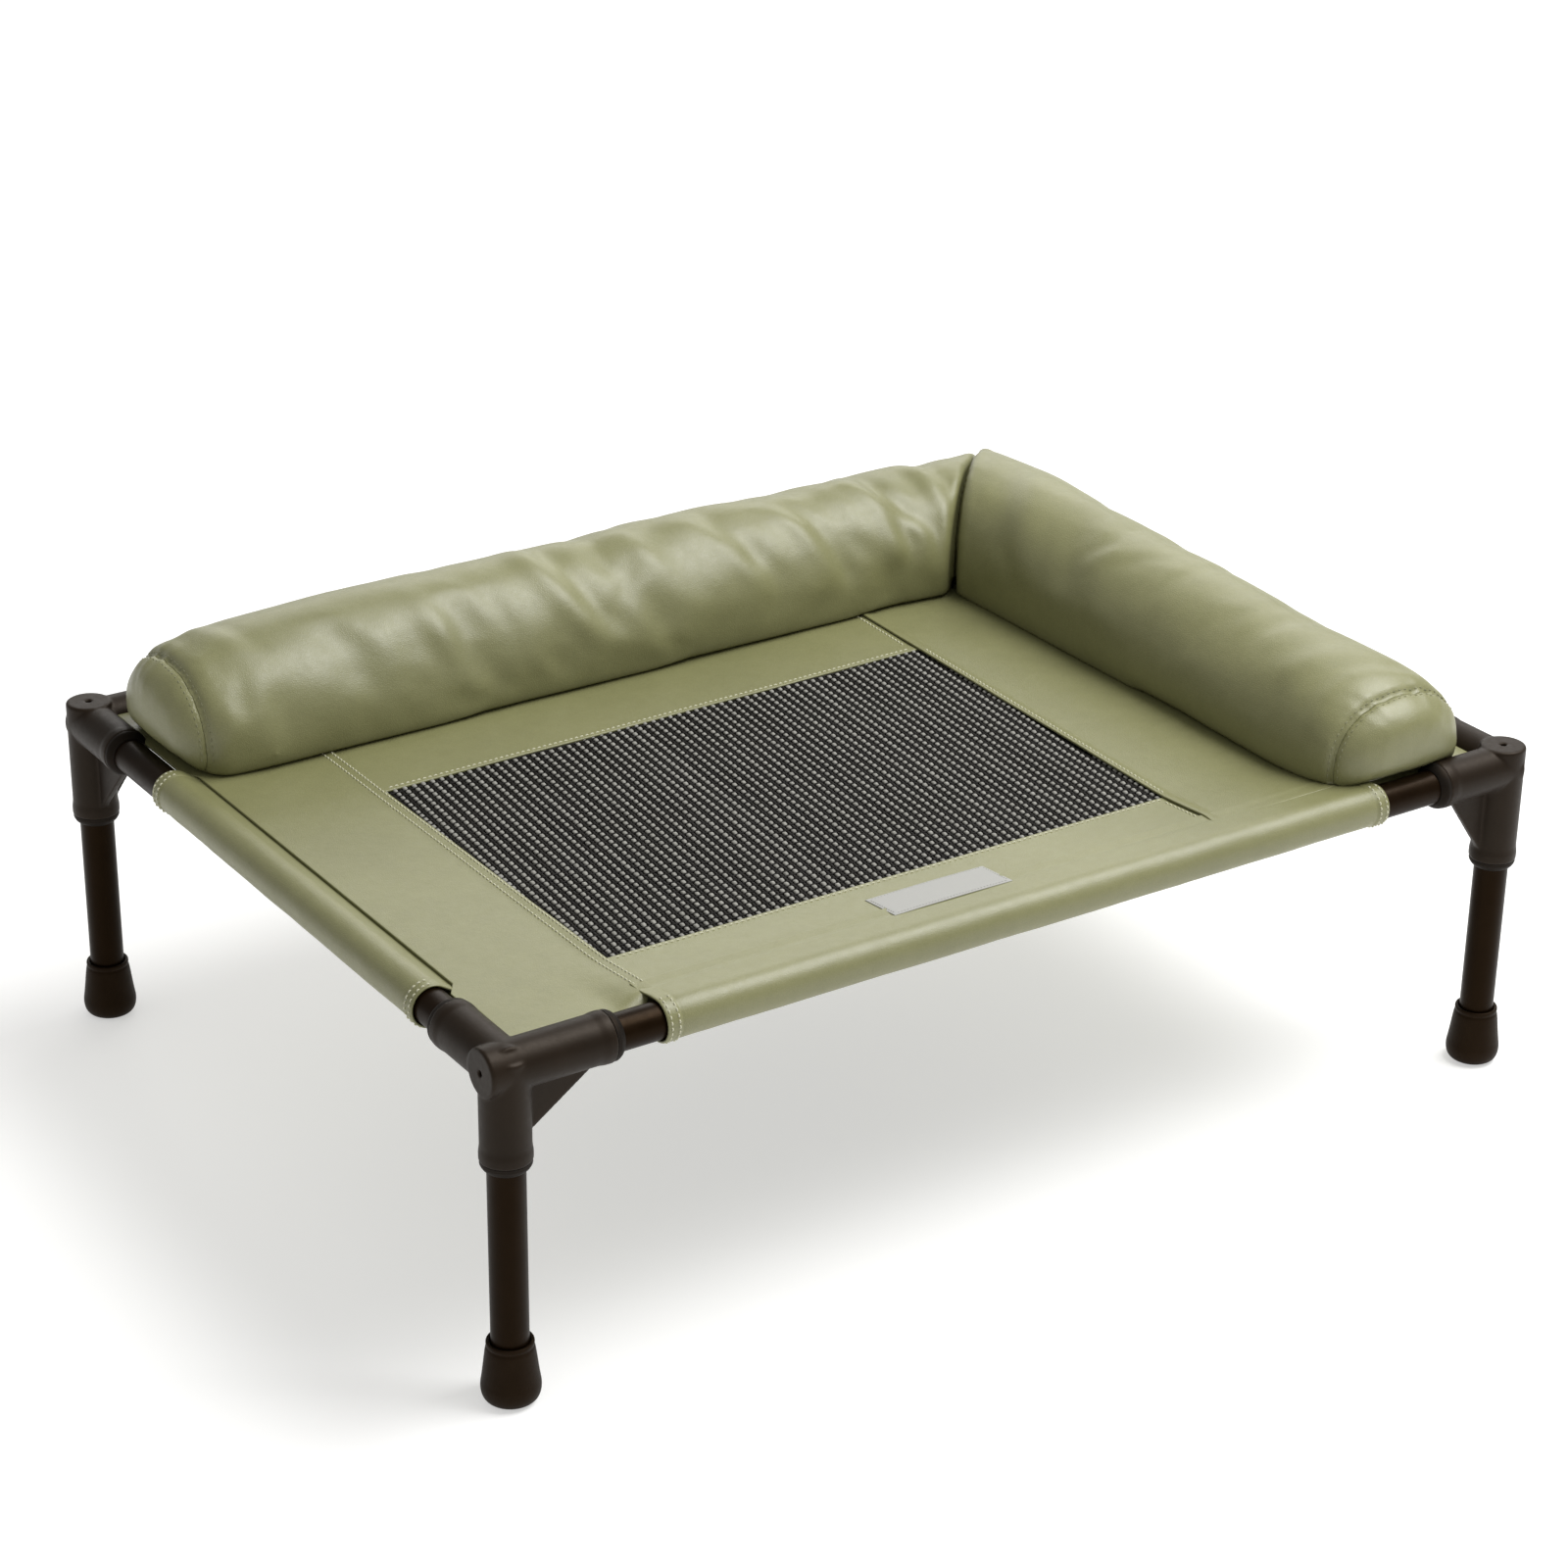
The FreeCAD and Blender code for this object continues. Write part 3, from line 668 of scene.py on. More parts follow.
def make_yarns(floor):
    """Grey warp in a chain of plump floats, tied down by black weft, with black warp between."""
    pitch, float_pitch, lean = 6.6 * MM, 5.8 * MM, 0.079
    front, back = WINDOW_FRONT - 3 * MM, window_back_y(seam_right_x(WINDOW_BACK)) + 2 * MM
    left, right = SEAM_LEFT - 3 * MM, seam_right_x(WINDOW_BACK) + 3 * MM
    middle = (front + back) / 2
    wander = random.Random(5)

    def warp(offset, thin, swell, samples, lift, wave):
        """Strands along Y; they are thickest and highest in the middle of each float."""
        paths, radii = [], []
        first = left - pitch * 4 + offset
        for column in range(int((right - left) / pitch) + 8):
            x0 = first + column * pitch
            phase = wander.uniform(-0.3, 0.3)
            y = np.arange(front, back, float_pitch / samples)
            x = x0 + (y - middle) * lean + 0.12 * MM * np.sin(y / (31 * MM) + column)
            limit = seam_right_x(y) + 2 * MM
            keep = (x > left) & (x < limit) & (y < window_back_y(x) + 2 * MM)
            if keep.sum() < 6:
                continue
            hump = 0.5 + 0.5 * np.cos(2 * math.pi * (y[keep] - front) / float_pitch + phase)
            hump = hump ** 0.7
            paths.append(np.stack([x[keep], y[keep], floor + lift + wave * hump], -1))
            radii.append((thin + swell * hump) * wander.uniform(0.94, 1.06))
        return paths, radii

    def weft():
        """Strands along X: one over each tie of the grey warp and a low one under each float."""
        paths, radii = [], []
        step = float_pitch / 2
        for row in range(int((back - front) / step)):
            over = row % 2 == 0
            y0 = front + (row + 1) * step
            x = np.arange(left, right, pitch / 4)
            y = y0 + 0.10 * MM * np.sin(x / (23 * MM) + row)
            keep = (x < seam_right_x(y) + 2 * MM) & (y < window_back_y(x) + 2 * MM)
            if keep.sum() < 6:
                continue
            height = 1.0 * MM if over else 0.25 * MM
            ripple = 0.12 * MM * np.cos(2 * math.pi * (x[keep] - left) / pitch)
            paths.append(np.stack([x[keep], y[keep], floor + height + ripple], -1))
            radii.append(np.full(keep.sum(), 1.15 * MM if over else 0.8 * MM))
        return paths, radii

    grey = warp(0.0, 0.70 * MM, 1.02 * MM, 8, -0.10 * MM, 1.30 * MM)
    black = warp(pitch / 2, 1.15 * MM, 0.25 * MM, 4, 0.45 * MM, 0.35 * MM)
    half = len(grey[0]) // 2
    grey_left, grey_right = [part[:half] for part in grey], [part[half:] for part in grey]
    sets = (
        ("mesh_grey_warp_left", grey_left, 6, 0.62, GREY_YARN_LOOK),
        ("mesh_grey_warp_right", grey_right, 6, 0.62, GREY_YARN_LOOK),
        ("mesh_black_warp", black, 5, 0.5, BLACK_YARN_LOOK),
        ("mesh_black_weft", weft(), 4, 0.6, BLACK_YARN_LOOK),
    )
    made = []
    for name, (paths, radii), sides, flatness, look in sets:
        piece = make_object(name, *make_tube_along(paths, radii, sides, flatness), look)
        made.append(settle(piece, "mesh_fabric"))
    return made


def make_label():
    """A blank woven label, sewn to the front panel, with its ends folded under."""
    low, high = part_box("woven_label")
    height = high.z - low.z

    def surface(u, v):
        bow = 0.35 * MM * np.sin((u - low.x) / (high.x - low.x) * math.pi)
        z = deck_height(u, v) + height + 0.25 * MM + bow
        edge = np.minimum(np.minimum(u - low.x, high.x - u), np.minimum(v - low.y, high.y - v))
        return np.stack([u, v, z - 0.35 * MM * (1 - smoothstep(edge, 0.0, 3 * MM))], -1)

    across = np.linspace(low.x, high.x, 70)
    along = np.linspace(low.y, high.y, 30)
    piece = make_sheet("label_blank", surface, across, along, height, LABEL_LOOK, rim=0.25 * MM)
    settle(piece, "label_cloth", "woven_label")


# ---------------------------------------------------------------- sleeves

def arc(first, last, steps):
    """Points on the sleeve's circle round the rail, by angle in degrees from inwards (0) to up (90)."""
    angles = np.radians(np.linspace(first, last, steps))
    return np.stack([SLEEVE_R * np.cos(angles), SLEEVE_R * np.sin(angles)], -1)


def sleeve_profile(smooth):
    """The leather's outer line round a rail as (inwards, up) from the rail's axis.

    smooth: the deck runs on over the rail.  Otherwise the hem comes out from under the deck's edge
    and rises over the rail, so a crease runs along it.
    """
    edge = RAIL_X - DECK_X
    tail = edge + 13 * MM
    deck_under = DECK_Z - LEATHER - RAIL_Z
    if smooth:
        rise = math.degrees(math.atan(FRONT_SLOPE))
        height = DECK_Z + (DECK_Y + WINDOW_FRONT) * FRONT_SLOPE - RAIL_Z
        inner = height - 9 * MM * FRONT_SLOPE
        start = np.array([[edge + 9 * MM, inner - 0.75 * MM], [edge + 1.5 * MM, height - 0.02 * MM]])
        top = arc(90 - rise, 180, 18)
        under = height - LEATHER
    else:
        pinch = np.array([edge + 0.5 * MM, deck_under + SIDE_RISE - 0.3 * MM])
        away = math.hypot(*pinch)
        touch = math.degrees(math.atan2(pinch[1], pinch[0]) + math.acos(SLEEVE_R / away))
        start = np.array([[tail, pinch[1] - 0.2 * MM], [edge + 4 * MM, pinch[1] - 0.1 * MM], pinch])
        top = arc(touch, 180, 18)
        under = deck_under + SIDE_RISE - LEATHER - 0.6 * MM
    meet = math.degrees(math.asin(min(0.5, (under - 8 * MM) / SLEEVE_R)))
    bottom = arc(180, 360 + meet, 30)[1:]
    end = np.array([[edge - 0.5 * MM, under - 0.8 * MM], [edge + 3 * MM, under - 0.2 * MM], [tail, under]])
    return np.vstack([start, top, bottom, end])


def even_line(line, step):
    """The same line with evenly spaced points."""
    run = run_along(line)
    return at_distance(line, run, np.linspace(0.0, run[-1], max(2, int(run[-1] / step))))


class Sleeve:
    """Maps (along the rail, inwards, up) to the frame for one sleeve."""

    def __init__(self, side, smooth):
        self.side = side
        low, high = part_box("sleeve_" + side)
        self.lengthwise = 0 if side in ("front", "back") else 1
        self.start, self.end = low[self.lengthwise], high[self.lengthwise]
        self.inwards = 1 if side in ("front", "left") else -1
        self.line = even_line(sleeve_profile(smooth), SLEEVE_STEP)
        self.rail = (RAIL_Y if self.lengthwise == 0 else RAIL_X) * -self.inwards

    def place(self, along, inwards, up):
        across = self.rail + inwards * self.inwards
        points = [along, across] if self.lengthwise == 0 else [across, along]
        return np.stack([*points, RAIL_Z + up], -1)

    def swell(self, along):
        """How far the turned hems stand off the leather's ideal line."""
        inner = np.minimum(along - self.start, self.end - along)
        hem = 0.55 * MM * (1 - smoothstep(inner, 8.5 * MM, 10.5 * MM))
        groove = -0.35 * MM * ridge(inner - 9.6 * MM, 0.9 * MM)
        lip = -0.5 * MM * (1 - smoothstep(inner, 0.0, 1.2 * MM))
        return hem + groove + lip


def make_sleeve(side, smooth, seed):
    sleeve = Sleeve(side, smooth)
    along = graded(sleeve.start, sleeve.end, 0.9 * MM, 5.0 * MM, 12 * MM)
    line = sleeve.line
    direction = unit_rows(np.gradient(line, axis=0))
    outwards = np.stack([direction[:, 1], -direction[:, 0]], -1)
    outwards *= np.sign((outwards * line).sum(1).mean())
    on_rail = smoothstep(np.linalg.norm(line, axis=1), SLEEVE_R + 6 * MM, SLEEVE_R + 1 * MM)
    s, t = np.meshgrid(along, np.arange(len(line)), indexing="ij")
    place = np.stack([s, t * 1.1 * MM, np.zeros_like(s)], -1)
    loose = 0.30 * MM * noise_field(place, 34 * MM, seed)
    loose = loose + 0.12 * MM * noise_field(place, 9 * MM, seed + 3)
    clearance = 0.04 * MM
    off = (sleeve.swell(s) + loose) * on_rail[None, :] + clearance
    inwards = line[None, :, 0] + outwards[None, :, 0] * off
    up = line[None, :, 1] + outwards[None, :, 1] * off
    top = sleeve.place(s, inwards, up)
    piece = make_object(
        "sleeve_leather_" + side, top.reshape(-1, 3), grid_faces(len(along), len(line)), LEATHER_LOOK
    )
    point_outwards(piece, sleeve)
    add_modifier(piece, "SOLIDIFY", thickness=1.25 * MM, offset=-1.0)
    add_modifier(piece, "BEVEL", width=0.5 * MM, segments=3, limit_method="ANGLE", angle_limit=ROUNDED_ABOVE)
    apply_modifiers(piece)
    settle(piece, "green_leather", "sleeve_" + side)
    return sleeve


def point_outwards(piece, sleeve):
    """Turns the faces so that their normals point away from the rail."""
    across = 1 - sleeve.lengthwise
    total = 0.0
    with edited(piece.data) as work:
        for face in work.faces:
            centre = face.calc_center_median()
            face.normal_update()
            total += face.normal[across] * (centre[across] - sleeve.rail)
            total += face.normal.z * (centre.z - RAIL_Z)
        if total < 0:
            bmesh.ops.reverse_faces(work, faces=work.faces)


# ---------------------------------------------------------------- stitches

def stitch_run(line, up, pitch, length, radius):
    """Stitches along a line of points on a surface whose normals are given, as vertices and faces."""
    line, up = np.asarray(line, float), np.asarray(up, float)
    run = run_along(line)
    vertices, faces = [], []
    rings, sides = 5, 6
    for centre in np.arange(pitch, run[-1] - pitch / 2, pitch):
        at = at_distance(line, run, centre)
        normal = at_distance(up, run, centre)
        normal /= np.linalg.norm(normal)
        ahead, behind = at_distance(line, run, np.array([centre + length / 2, centre - length / 2]))
        heading = ahead - behind
        heading /= np.linalg.norm(heading)
        side = np.cross(heading, normal)
        first = len(vertices)
        for ring in range(rings):
            share = ring / (rings - 1) * 2 - 1
            size = radius * (1.0 if abs(share) < 0.9 else 0.55)
            lift = radius * (0.55 - 1.5 * share * share)
            middle = at + heading * share * length / 2 + normal * lift
            for s in range(sides):
                angle = 2 * math.pi * s / sides
                vertices.append(middle + (side * math.cos(angle) + normal * math.sin(angle)) * size)
        faces += tube_faces(rings, sides, first)
    return vertices, faces


def make_stitches(
    name, runs, pitch=4.0 * MM, length=3.1 * MM, radius=0.52 * MM, look=THREAD_LOOK,
):
    """One piece of stitching from several runs of (line, normals)."""
    vertices, faces = [], []
    for line, up in runs:
        more_vertices, more_faces = stitch_run(line, up, pitch, length, radius)
        faces += [tuple(index + len(vertices) for index in face) for face in more_faces]
        vertices += more_vertices
    piece = make_object(name, vertices, faces, look)
    fix_normals(piece)
    return settle(piece, "green_leather")


def first_hit(pieces, start, ray):
    """The nearest point where a ray meets some pieces, and its normal, or None."""
    hits = [hit for hit in (piece.ray_cast(start, ray) for piece in pieces) if hit[0]]
    if not hits:
        return None
    nearest = min(hits, key=lambda hit: (hit[1] - start).length)
    return np.array(nearest[1]), np.array(nearest[2])


def trace(pieces, starts, rays):
    """Points and normals where rays meet some pieces; a ray that misses is left out."""
    hits = [first_hit(pieces, start, ray) for start, ray in zip(starts, rays)]
    hits = [hit for hit in hits if hit]
    return np.array([point for point, _ in hits]), np.array([normal for _, normal in hits])


def surface_finder(*names):
    """Returns a function that drops points onto the tops of pieces and gives points and normals."""
    bpy.context.view_layer.update()
    pieces = [bpy.data.objects[name] for name in names]
    down = Vector((0, 0, -1))

    def drop(points):
        return trace(pieces, [Vector(point) - down * 60 * MM for point in points], [down] * len(points))

    return drop


def straight(first, last, step=2 * MM):
    first, last = np.array(first, float), np.array(last, float)
    count = max(2, int(np.linalg.norm(last - first) / step))
    return [first + (last - first) * share for share in np.linspace(0.0, 1.0, count)]


def stitch_the_deck():
    """Rows along the seams and round the mesh window."""
    drop = surface_finder("leather_left", "leather_front", "leather_back", "leather_right")
    inset = 3.2 * MM
    z = DECK_Z + 20 * MM
    far = DECK_Y - 60 * MM
    front = WINDOW_FRONT - inset
    edge = -DECK_Y + 8 * MM
    rows = [
        ((SEAM_LEFT - 2.0 * MM, edge, z), (SEAM_LEFT - 2.0 * MM, far, z)),
        ((SEAM_LEFT - 7.0 * MM, edge, z), (SEAM_LEFT - 7.0 * MM, far, z)),
        ((SEAM_LEFT + 2 * MM, front, z), (seam_right_x(front) - 2 * MM, front, z)),
        ((SEAM_LEFT + 2 * MM, window_back_y(SEAM_LEFT) + inset, z),
         (seam_right_x(WINDOW_BACK) - 2 * MM, window_back_y(SEAM_RIGHT) + inset, z)),
        ((seam_right_x(WINDOW_FRONT) + inset, WINDOW_FRONT, z),
         (seam_right_x(WINDOW_BACK) + inset, WINDOW_BACK + 8 * MM, z)),
        ((seam_right_x(edge) - inset, edge, z), (seam_right_x(front) - inset, front - 4 * MM, z)),
        ((seam_right_x(WINDOW_BACK) - inset, window_back_y(SEAM_RIGHT) + 3 * inset, z),
         (seam_right_x(far) - inset, far, z)),
    ]
    make_stitches("stitching_deck", [drop(straight(*row)) for row in rows])


def stitch_the_label():
    low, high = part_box("woven_label")
    drop = surface_finder("label_blank")
    inset = 1.8 * MM
    z = high.z + 10 * MM
    corners = [
        (low.x + inset, low.y + inset, z), (high.x - inset, low.y + inset, z),
        (high.x - inset, high.y - inset, z), (low.x + inset, high.y - inset, z),
    ]
    rows = [(corners[index], corners[(index + 1) % 4]) for index in range(4)]
    make_stitches(
        "stitching_label", [drop(straight(*row, 1 * MM)) for row in rows],
        pitch=2.2 * MM, length=1.6 * MM, radius=0.22 * MM, look=LABEL_LOOK,
    )


def stitch_the_sleeves(sleeves):
    """Two rows round each turned hem."""
    runs = []
    for sleeve in sleeves:
        piece = bpy.data.objects["sleeve_leather_" + sleeve.side]
        for inset in (2.6 * MM, 7.6 * MM):
            for along in (sleeve.start + inset, sleeve.end - inset):
                centre = sleeve.place(along, 0.0, 0.0)
                found, normals = [], []
                for angle in np.radians(np.arange(78, 300, 4)):
                    ray = Vector(sleeve.place(along, -math.cos(angle), -math.sin(angle)) - centre)
                    ray.normalize()
                    hit = first_hit([piece], Vector(centre) - ray * 40 * MM, ray)
                    if hit:
                        found.append(hit[0])
                        normals.append(-np.array(ray))
                runs.append((np.array(found), np.array(normals)))
    make_stitches("stitching_sleeves", runs, pitch=3.4 * MM, length=2.5 * MM)


# ---------------------------------------------------------------- bolsters

class Arm:
    """One bolster in its own terms: s along it from its end seam, q across the bed, z up.

    inner and outer are the contact lines with the deck as (at the seam, at the mitre); crest
    gives the full height as (distance from the mitre, height) points; corner is how far the
    inner line, the outer line and the top draw in at the end seam.  square below 1 makes the
    section fuller than round, bulge is how far the end panel swells out, slack is the share by
    which the cloth may grow, and forwards moves the end seam beyond its place in CAD.
    """

    def __init__(
        self, name, along, inner, outer, crest, square, corner, bulge, slack, forwards=0.0,
    ):
        self.name = name
        self.along = along
        self.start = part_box(f"bolster_{name}_cover")[0][along] + 3 * MM - forwards
        self.inner, self.outer = inner, outer
        self.crest = np.array(crest) * MM
        self.square = square
        self.corner = np.array(corner) * MM
        self.widest = 13 * MM      # the height above the deck where the section is widest
        self.bulge = bulge
        self.slack = slack

    def place(self, s, q, z):
        ends = [self.start + s, q] if self.along == 0 else [q, self.start + s]
        return np.stack([*ends, z], -1)

    def own(self, points):
        return points[:, self.along] - self.start, points[:, 1 - self.along], points[:, 2]

    def mitre(self, q):
        """Where the arm ends: the 45 degree plane through the crossing of the two centre lines."""
        return q + (MITRE if self.along == 0 else -MITRE) - self.start

    def half_lines(self, s):
        """Inner and outer contact lines and the height at a distance from the end seam."""
        share = np.clip(s / self.mitre(self.outer[1]), 0.0, 1.0)
        near = np.clip(s, 0.0, 48 * MM) / (48 * MM)
        corner = 1 - np.sqrt(np.maximum(0.0, 1 - (1 - near) ** 2))
        inner = self.inner[0] + (self.inner[1] - self.inner[0]) * share + self.corner[0] * corner
        outer = self.outer[0] + (self.outer[1] - self.outer[0]) * share - self.corner[1] * corner
        from_mitre = self.mitre(self.outer[1]) - s
        spread = np.linspace(-8, 8, 5) * MM
        heights = [np.interp(from_mitre + step, self.crest[:, 0], self.crest[:, 1]) for step in spread]
        return inner, outer, np.mean(heights, axis=0) - self.corner[2] * corner

    def section(self, s, angle):
        """A point of the section (q, z) at an angle from the inner contact (0) to the outer (1)."""
        inner, outer, top = self.half_lines(s)
        height = top - self.widest
        dip = np.arcsin(self.widest / height)
        turn = -dip + angle * (math.pi + 2 * dip)
        width = (outer - inner) / 2 / np.cos(dip)
        centre = (outer + inner) / 2
        across = np.sign(np.cos(turn)) * np.abs(np.cos(turn)) ** self.square
        upwards = np.sign(np.sin(turn)) * np.abs(np.sin(turn)) ** self.square
        return centre - width * across, DECK_Z + self.widest + height * upwards

    def loft(self, shrink):
        """A closed, rather lean shape for the simulation to fill out."""
        rings, around, base = 90, 44, 14
        vertices = []
        angle = np.linspace(0.0, 1.0, around)
        for ring in range(rings):
            share = ring / (rings - 1)
            q, z = self.section(np.full(around, share * self.mitre(self.outer[0])), angle)
            for _ in range(3):
                q, z = self.section(share * self.mitre(q), angle)
            flat = np.linspace(q[-1], q[0], base + 2)[1:-1]
            q = np.concatenate([q, flat])
            z = np.concatenate([z, np.full(base, DECK_Z)])
            centre = (q.max() + q.min()) / 2
            s = share * self.mitre(q)
            lean = 1 - (1 - shrink) * (1 - smoothstep(share, 0.9, 1.0))
            q = centre + (q - centre) * lean
            z = DECK_Z + (z - DECK_Z) * lean
            vertices.append(self.place(s, q, z))
        first = vertices[0]
        middle = first.mean(0)
        middle[2] = DECK_Z + 30 * MM
        domes = []
        for share in (0.12, 0.3, 0.5, 0.7, 0.84, 0.93, 0.975):
            ring = middle + (first - middle) * share
            ring[:, self.along] -= self.bulge * (1 - share ** 3.5)
            domes.append(ring)
        rows = np.concatenate([*domes, *vertices])
        return rows.reshape(-1, 3), tube_faces(len(domes) + rings, around + base)


def stuff(arm, piece):
    """Fills the shape out by a cloth simulation under pressure, held at its base and its seams."""
    rest = get_vectors(piece, "co")
    s, q, z = arm.own(rest)
    held = (z < DECK_Z + 1.5 * MM) | (np.abs(s) < 3.5 * MM) | (arm.mitre(q) - s < 4 * MM)
    group = piece.vertex_groups.new(name="held")
    group.add([int(index) for index in np.flatnonzero(held)], 1.0, "REPLACE")
    cloth = add_modifier(piece, "CLOTH")
    cloth.settings.quality = 5
    cloth.settings.use_pressure = True
    cloth.settings.uniform_pressure_force = 4.0
    cloth.settings.effector_weights.gravity = 0.0
    cloth.settings.vertex_group_mass = "held"
    cloth.settings.shrink_min = -arm.slack
    cloth.settings.bending_stiffness = 0.6
    frames = 20
    cloth.point_cache.frame_start, cloth.point_cache.frame_end = 1, frames
    scene = bpy.context.scene
    for step in range(1, frames + 1):
        scene.frame_set(step)
    graph = bpy.context.evaluated_depsgraph_get()
    swollen = piece.evaluated_get(graph).to_mesh()
    moved = np.zeros(len(rest) * 3)
    swollen.vertices.foreach_get("co", moved)
    piece.modifiers.clear()
    scene.frame_set(1)
    move = moved.reshape(-1, 3) - rest
    length = np.linalg.norm(move, axis=1)
    furthest = 14 * MM
    move *= (np.minimum(length, furthest) / np.maximum(length, 1e-9))[:, None]
    set_points(piece, rest + move)


def relax(piece, rounds):
    """Evens out a mesh's small dents by moving each point towards its neighbours."""
    points = get_vectors(piece, "co")
    ends = np.zeros(len(piece.data.edges) * 2, dtype=int)
    piece.data.edges.foreach_get("vertices", ends)
    first, second = ends.reshape(-1, 2).T
    count = np.bincount(ends, minlength=len(points))[:, None]
    for _ in range(rounds):
        total = np.zeros_like(points)
        np.add.at(total, first, points[second])
        np.add.at(total, second, points[first])
        points = points * 0.5 + total / np.maximum(count, 1) * 0.5
    set_points(piece, points)


def around_section(arm, s, q, z):
    """Angle in degrees round the section: 0 at the inner side, 90 at the top, 180 outside."""
    inner, outer, _ = arm.half_lines(s)
    return np.degrees(np.arctan2(z - DECK_Z - arm.widest, (outer + inner) / 2 - q))


def fold(s, angle, place, lean, width, height, low, high):
    """A crest with a hollow on its far side, running slanted up the section."""
    run = s - place - lean * (58.0 - angle) * MM
    bend = 6 * MM * np.sin(np.radians(angle * 2.4) + place * 90)
    u = (run + bend) / width
    reach = smoothstep(angle, low - 16, low + 10) * (1 - smoothstep(angle, high - 14, high + 18))
    return height * reach * (np.exp(-u * u) - 0.85 * np.exp(-((u - 1.55) ** 2) * 1.1))


BACK_FOLDS = (
    # place along the arm (mm), lean, width (mm), height (mm), from angle, to angle
    (16, 0.10, 7, 0.8, 20, 52),
    (92, 0.62, 15, -1.7, 26, 66),
    (160, 0.66, 12, 1.9, 6, 56),
    (266, 0.30, 12, 3.0, 26, 98),
    (300, 0.55, 10, 1.5, 2, 34),
    (345, 0.40, 13, 1.1, 30, 96),
    (396, 0.34, 12, 1.7, 34, 96),
    (454, 0.34, 10, 2.5, 18, 74),
    (492, 0.50, 12, -1.3, 40, 100),
    (520, 0.10, 9, 2.7, 28, 92),
    (541, 0.30, 8, 2.0, 44, 104),
    (574, 0.06, 8, 1.9, 10, 98),
)
RIGHT_FOLDS = (
    (345, -0.75, 17, 1.5, 28, 92),
    (262, -0.80, 19, 1.3, 24, 88),
    (402, -0.55, 12, 0.8, 40, 96),
    (18, 0.15, 9, 0.7, 30, 120),
)


def add_folds(arm, piece, folds, seed, extra):
    """The main folds, many faint ones, and the broad lumps of the fibre filling."""
    points, normals = get_vectors(piece, "co"), get_vectors(piece, "normal")
    s, q, z = arm.own(points)
    angle = around_section(arm, s, q, z)
    depth = np.zeros(len(points))
    for place, lean, width, height, low, high in folds:
        depth += fold(s, angle, place * MM, lean, width * MM, height * MM, low, high)
    wander = random.Random(seed)
    length = float(arm.mitre(arm.outer[1]))
    for _ in range(extra):
        place = wander.uniform(0.04, 0.92) * length
        low = wander.uniform(2, 80)
        depth += fold(
            s, angle, place, wander.uniform(-0.2, 0.8), wander.uniform(7, 14) * MM,
            wander.uniform(-0.8, 0.9) * MM, low, low + wander.uniform(25, 70),
        )
    lumps = 1.1 * MM * noise_field(points, 110 * MM, seed)
    depth += lumps + 0.16 * MM * noise_field(points, 30 * MM, seed + 5)
    wrinkles = 1.0 * MM * noise_field(points, 30 * MM, seed + 2)
    wrinkles = wrinkles + 0.35 * MM * noise_field(points, 13 * MM, seed + 4)
    depth += smoothstep(-s, 2 * MM, 12 * MM) * wrinkles
    near_seam = np.minimum(np.abs(s), arm.mitre(q) - s)
    depth *= smoothstep(near_seam, 0.0, 16 * MM) * smoothstep(z, DECK_Z + 2 * MM, DECK_Z + 20 * MM)
    gathers = np.sin(np.radians(angle) * 17 + 1.6 * np.sin(np.radians(angle) * 5 + seed))
    depth += 0.45 * MM * gathers * np.exp(-np.abs(s) / (9 * MM)) * smoothstep(angle, 20, 70)
    set_points(piece, points + normals * depth[:, None])


def draw_in(arm, piece):
    """Pulls the leather into the two seams and lets the base lie on the deck."""
    points, normals = get_vectors(piece, "co"), get_vectors(piece, "normal")
    s, q, z = arm.own(points)
    mitre_gap = arm.mitre(q) - s
    on_face = mitre_gap < 0.6 * MM
    pull = 2.0 * MM * ridge(s, 2.6 * MM) + 0.9 * MM * ridge(s, 8 * MM)
    soft = 1.8 * MM * ridge(mitre_gap, 3.2 * MM) - 1.2 * MM * ridge(mitre_gap - 9 * MM, 6 * MM)
    pull = pull + np.where(on_face, 0.0, soft)
    angle = around_section(arm, s, q, z)
    bites = np.maximum(0.0, np.sin(np.radians(angle) * 21)) * smoothstep(angle, 66, 80)
    pull += 0.9 * MM * bites * ridge(s, 1.8 * MM)
    pull *= smoothstep(z, DECK_Z + 0.5 * MM, DECK_Z + 6 * MM)
    points = points - normals * pull[:, None]
    s, q, z = arm.own(points)
    past = s - (arm.mitre(q) - 0.25 * MM)
    s = s - np.maximum(past, 0.0)
    z = np.maximum(z, deck_height(*arm.place(s, q, z)[:, :2].T) + 0.45 * MM)
    set_points(piece, arm.place(s, q, z))


def cut_at_seam(arm, piece, keep_end):
    """Keeps one side of the end seam and closes it, a hair away from the other side's piece."""
    normal = Vector((1, 0, 0)) if arm.along == 0 else Vector((0, 1, 0))
    gap = -0.12 * MM if keep_end else 0.12 * MM
    place = Vector((0, 0, 0))
    place[arm.along] = arm.start + gap
    with edited(piece.data) as work:
        bmesh.ops.bisect_plane(
            work, geom=work.verts[:] + work.edges[:] + work.faces[:], dist=0.01 * MM,
            plane_co=place, plane_no=normal, clear_outer=keep_end, clear_inner=not keep_end,
        )
        rim = [edge for edge in work.edges if edge.is_boundary]
        filled = bmesh.ops.holes_fill(work, edges=rim, sides=0)
        bmesh.ops.recalc_face_normals(work, faces=work.faces)
        for face in filled["faces"]:
            face.smooth = False


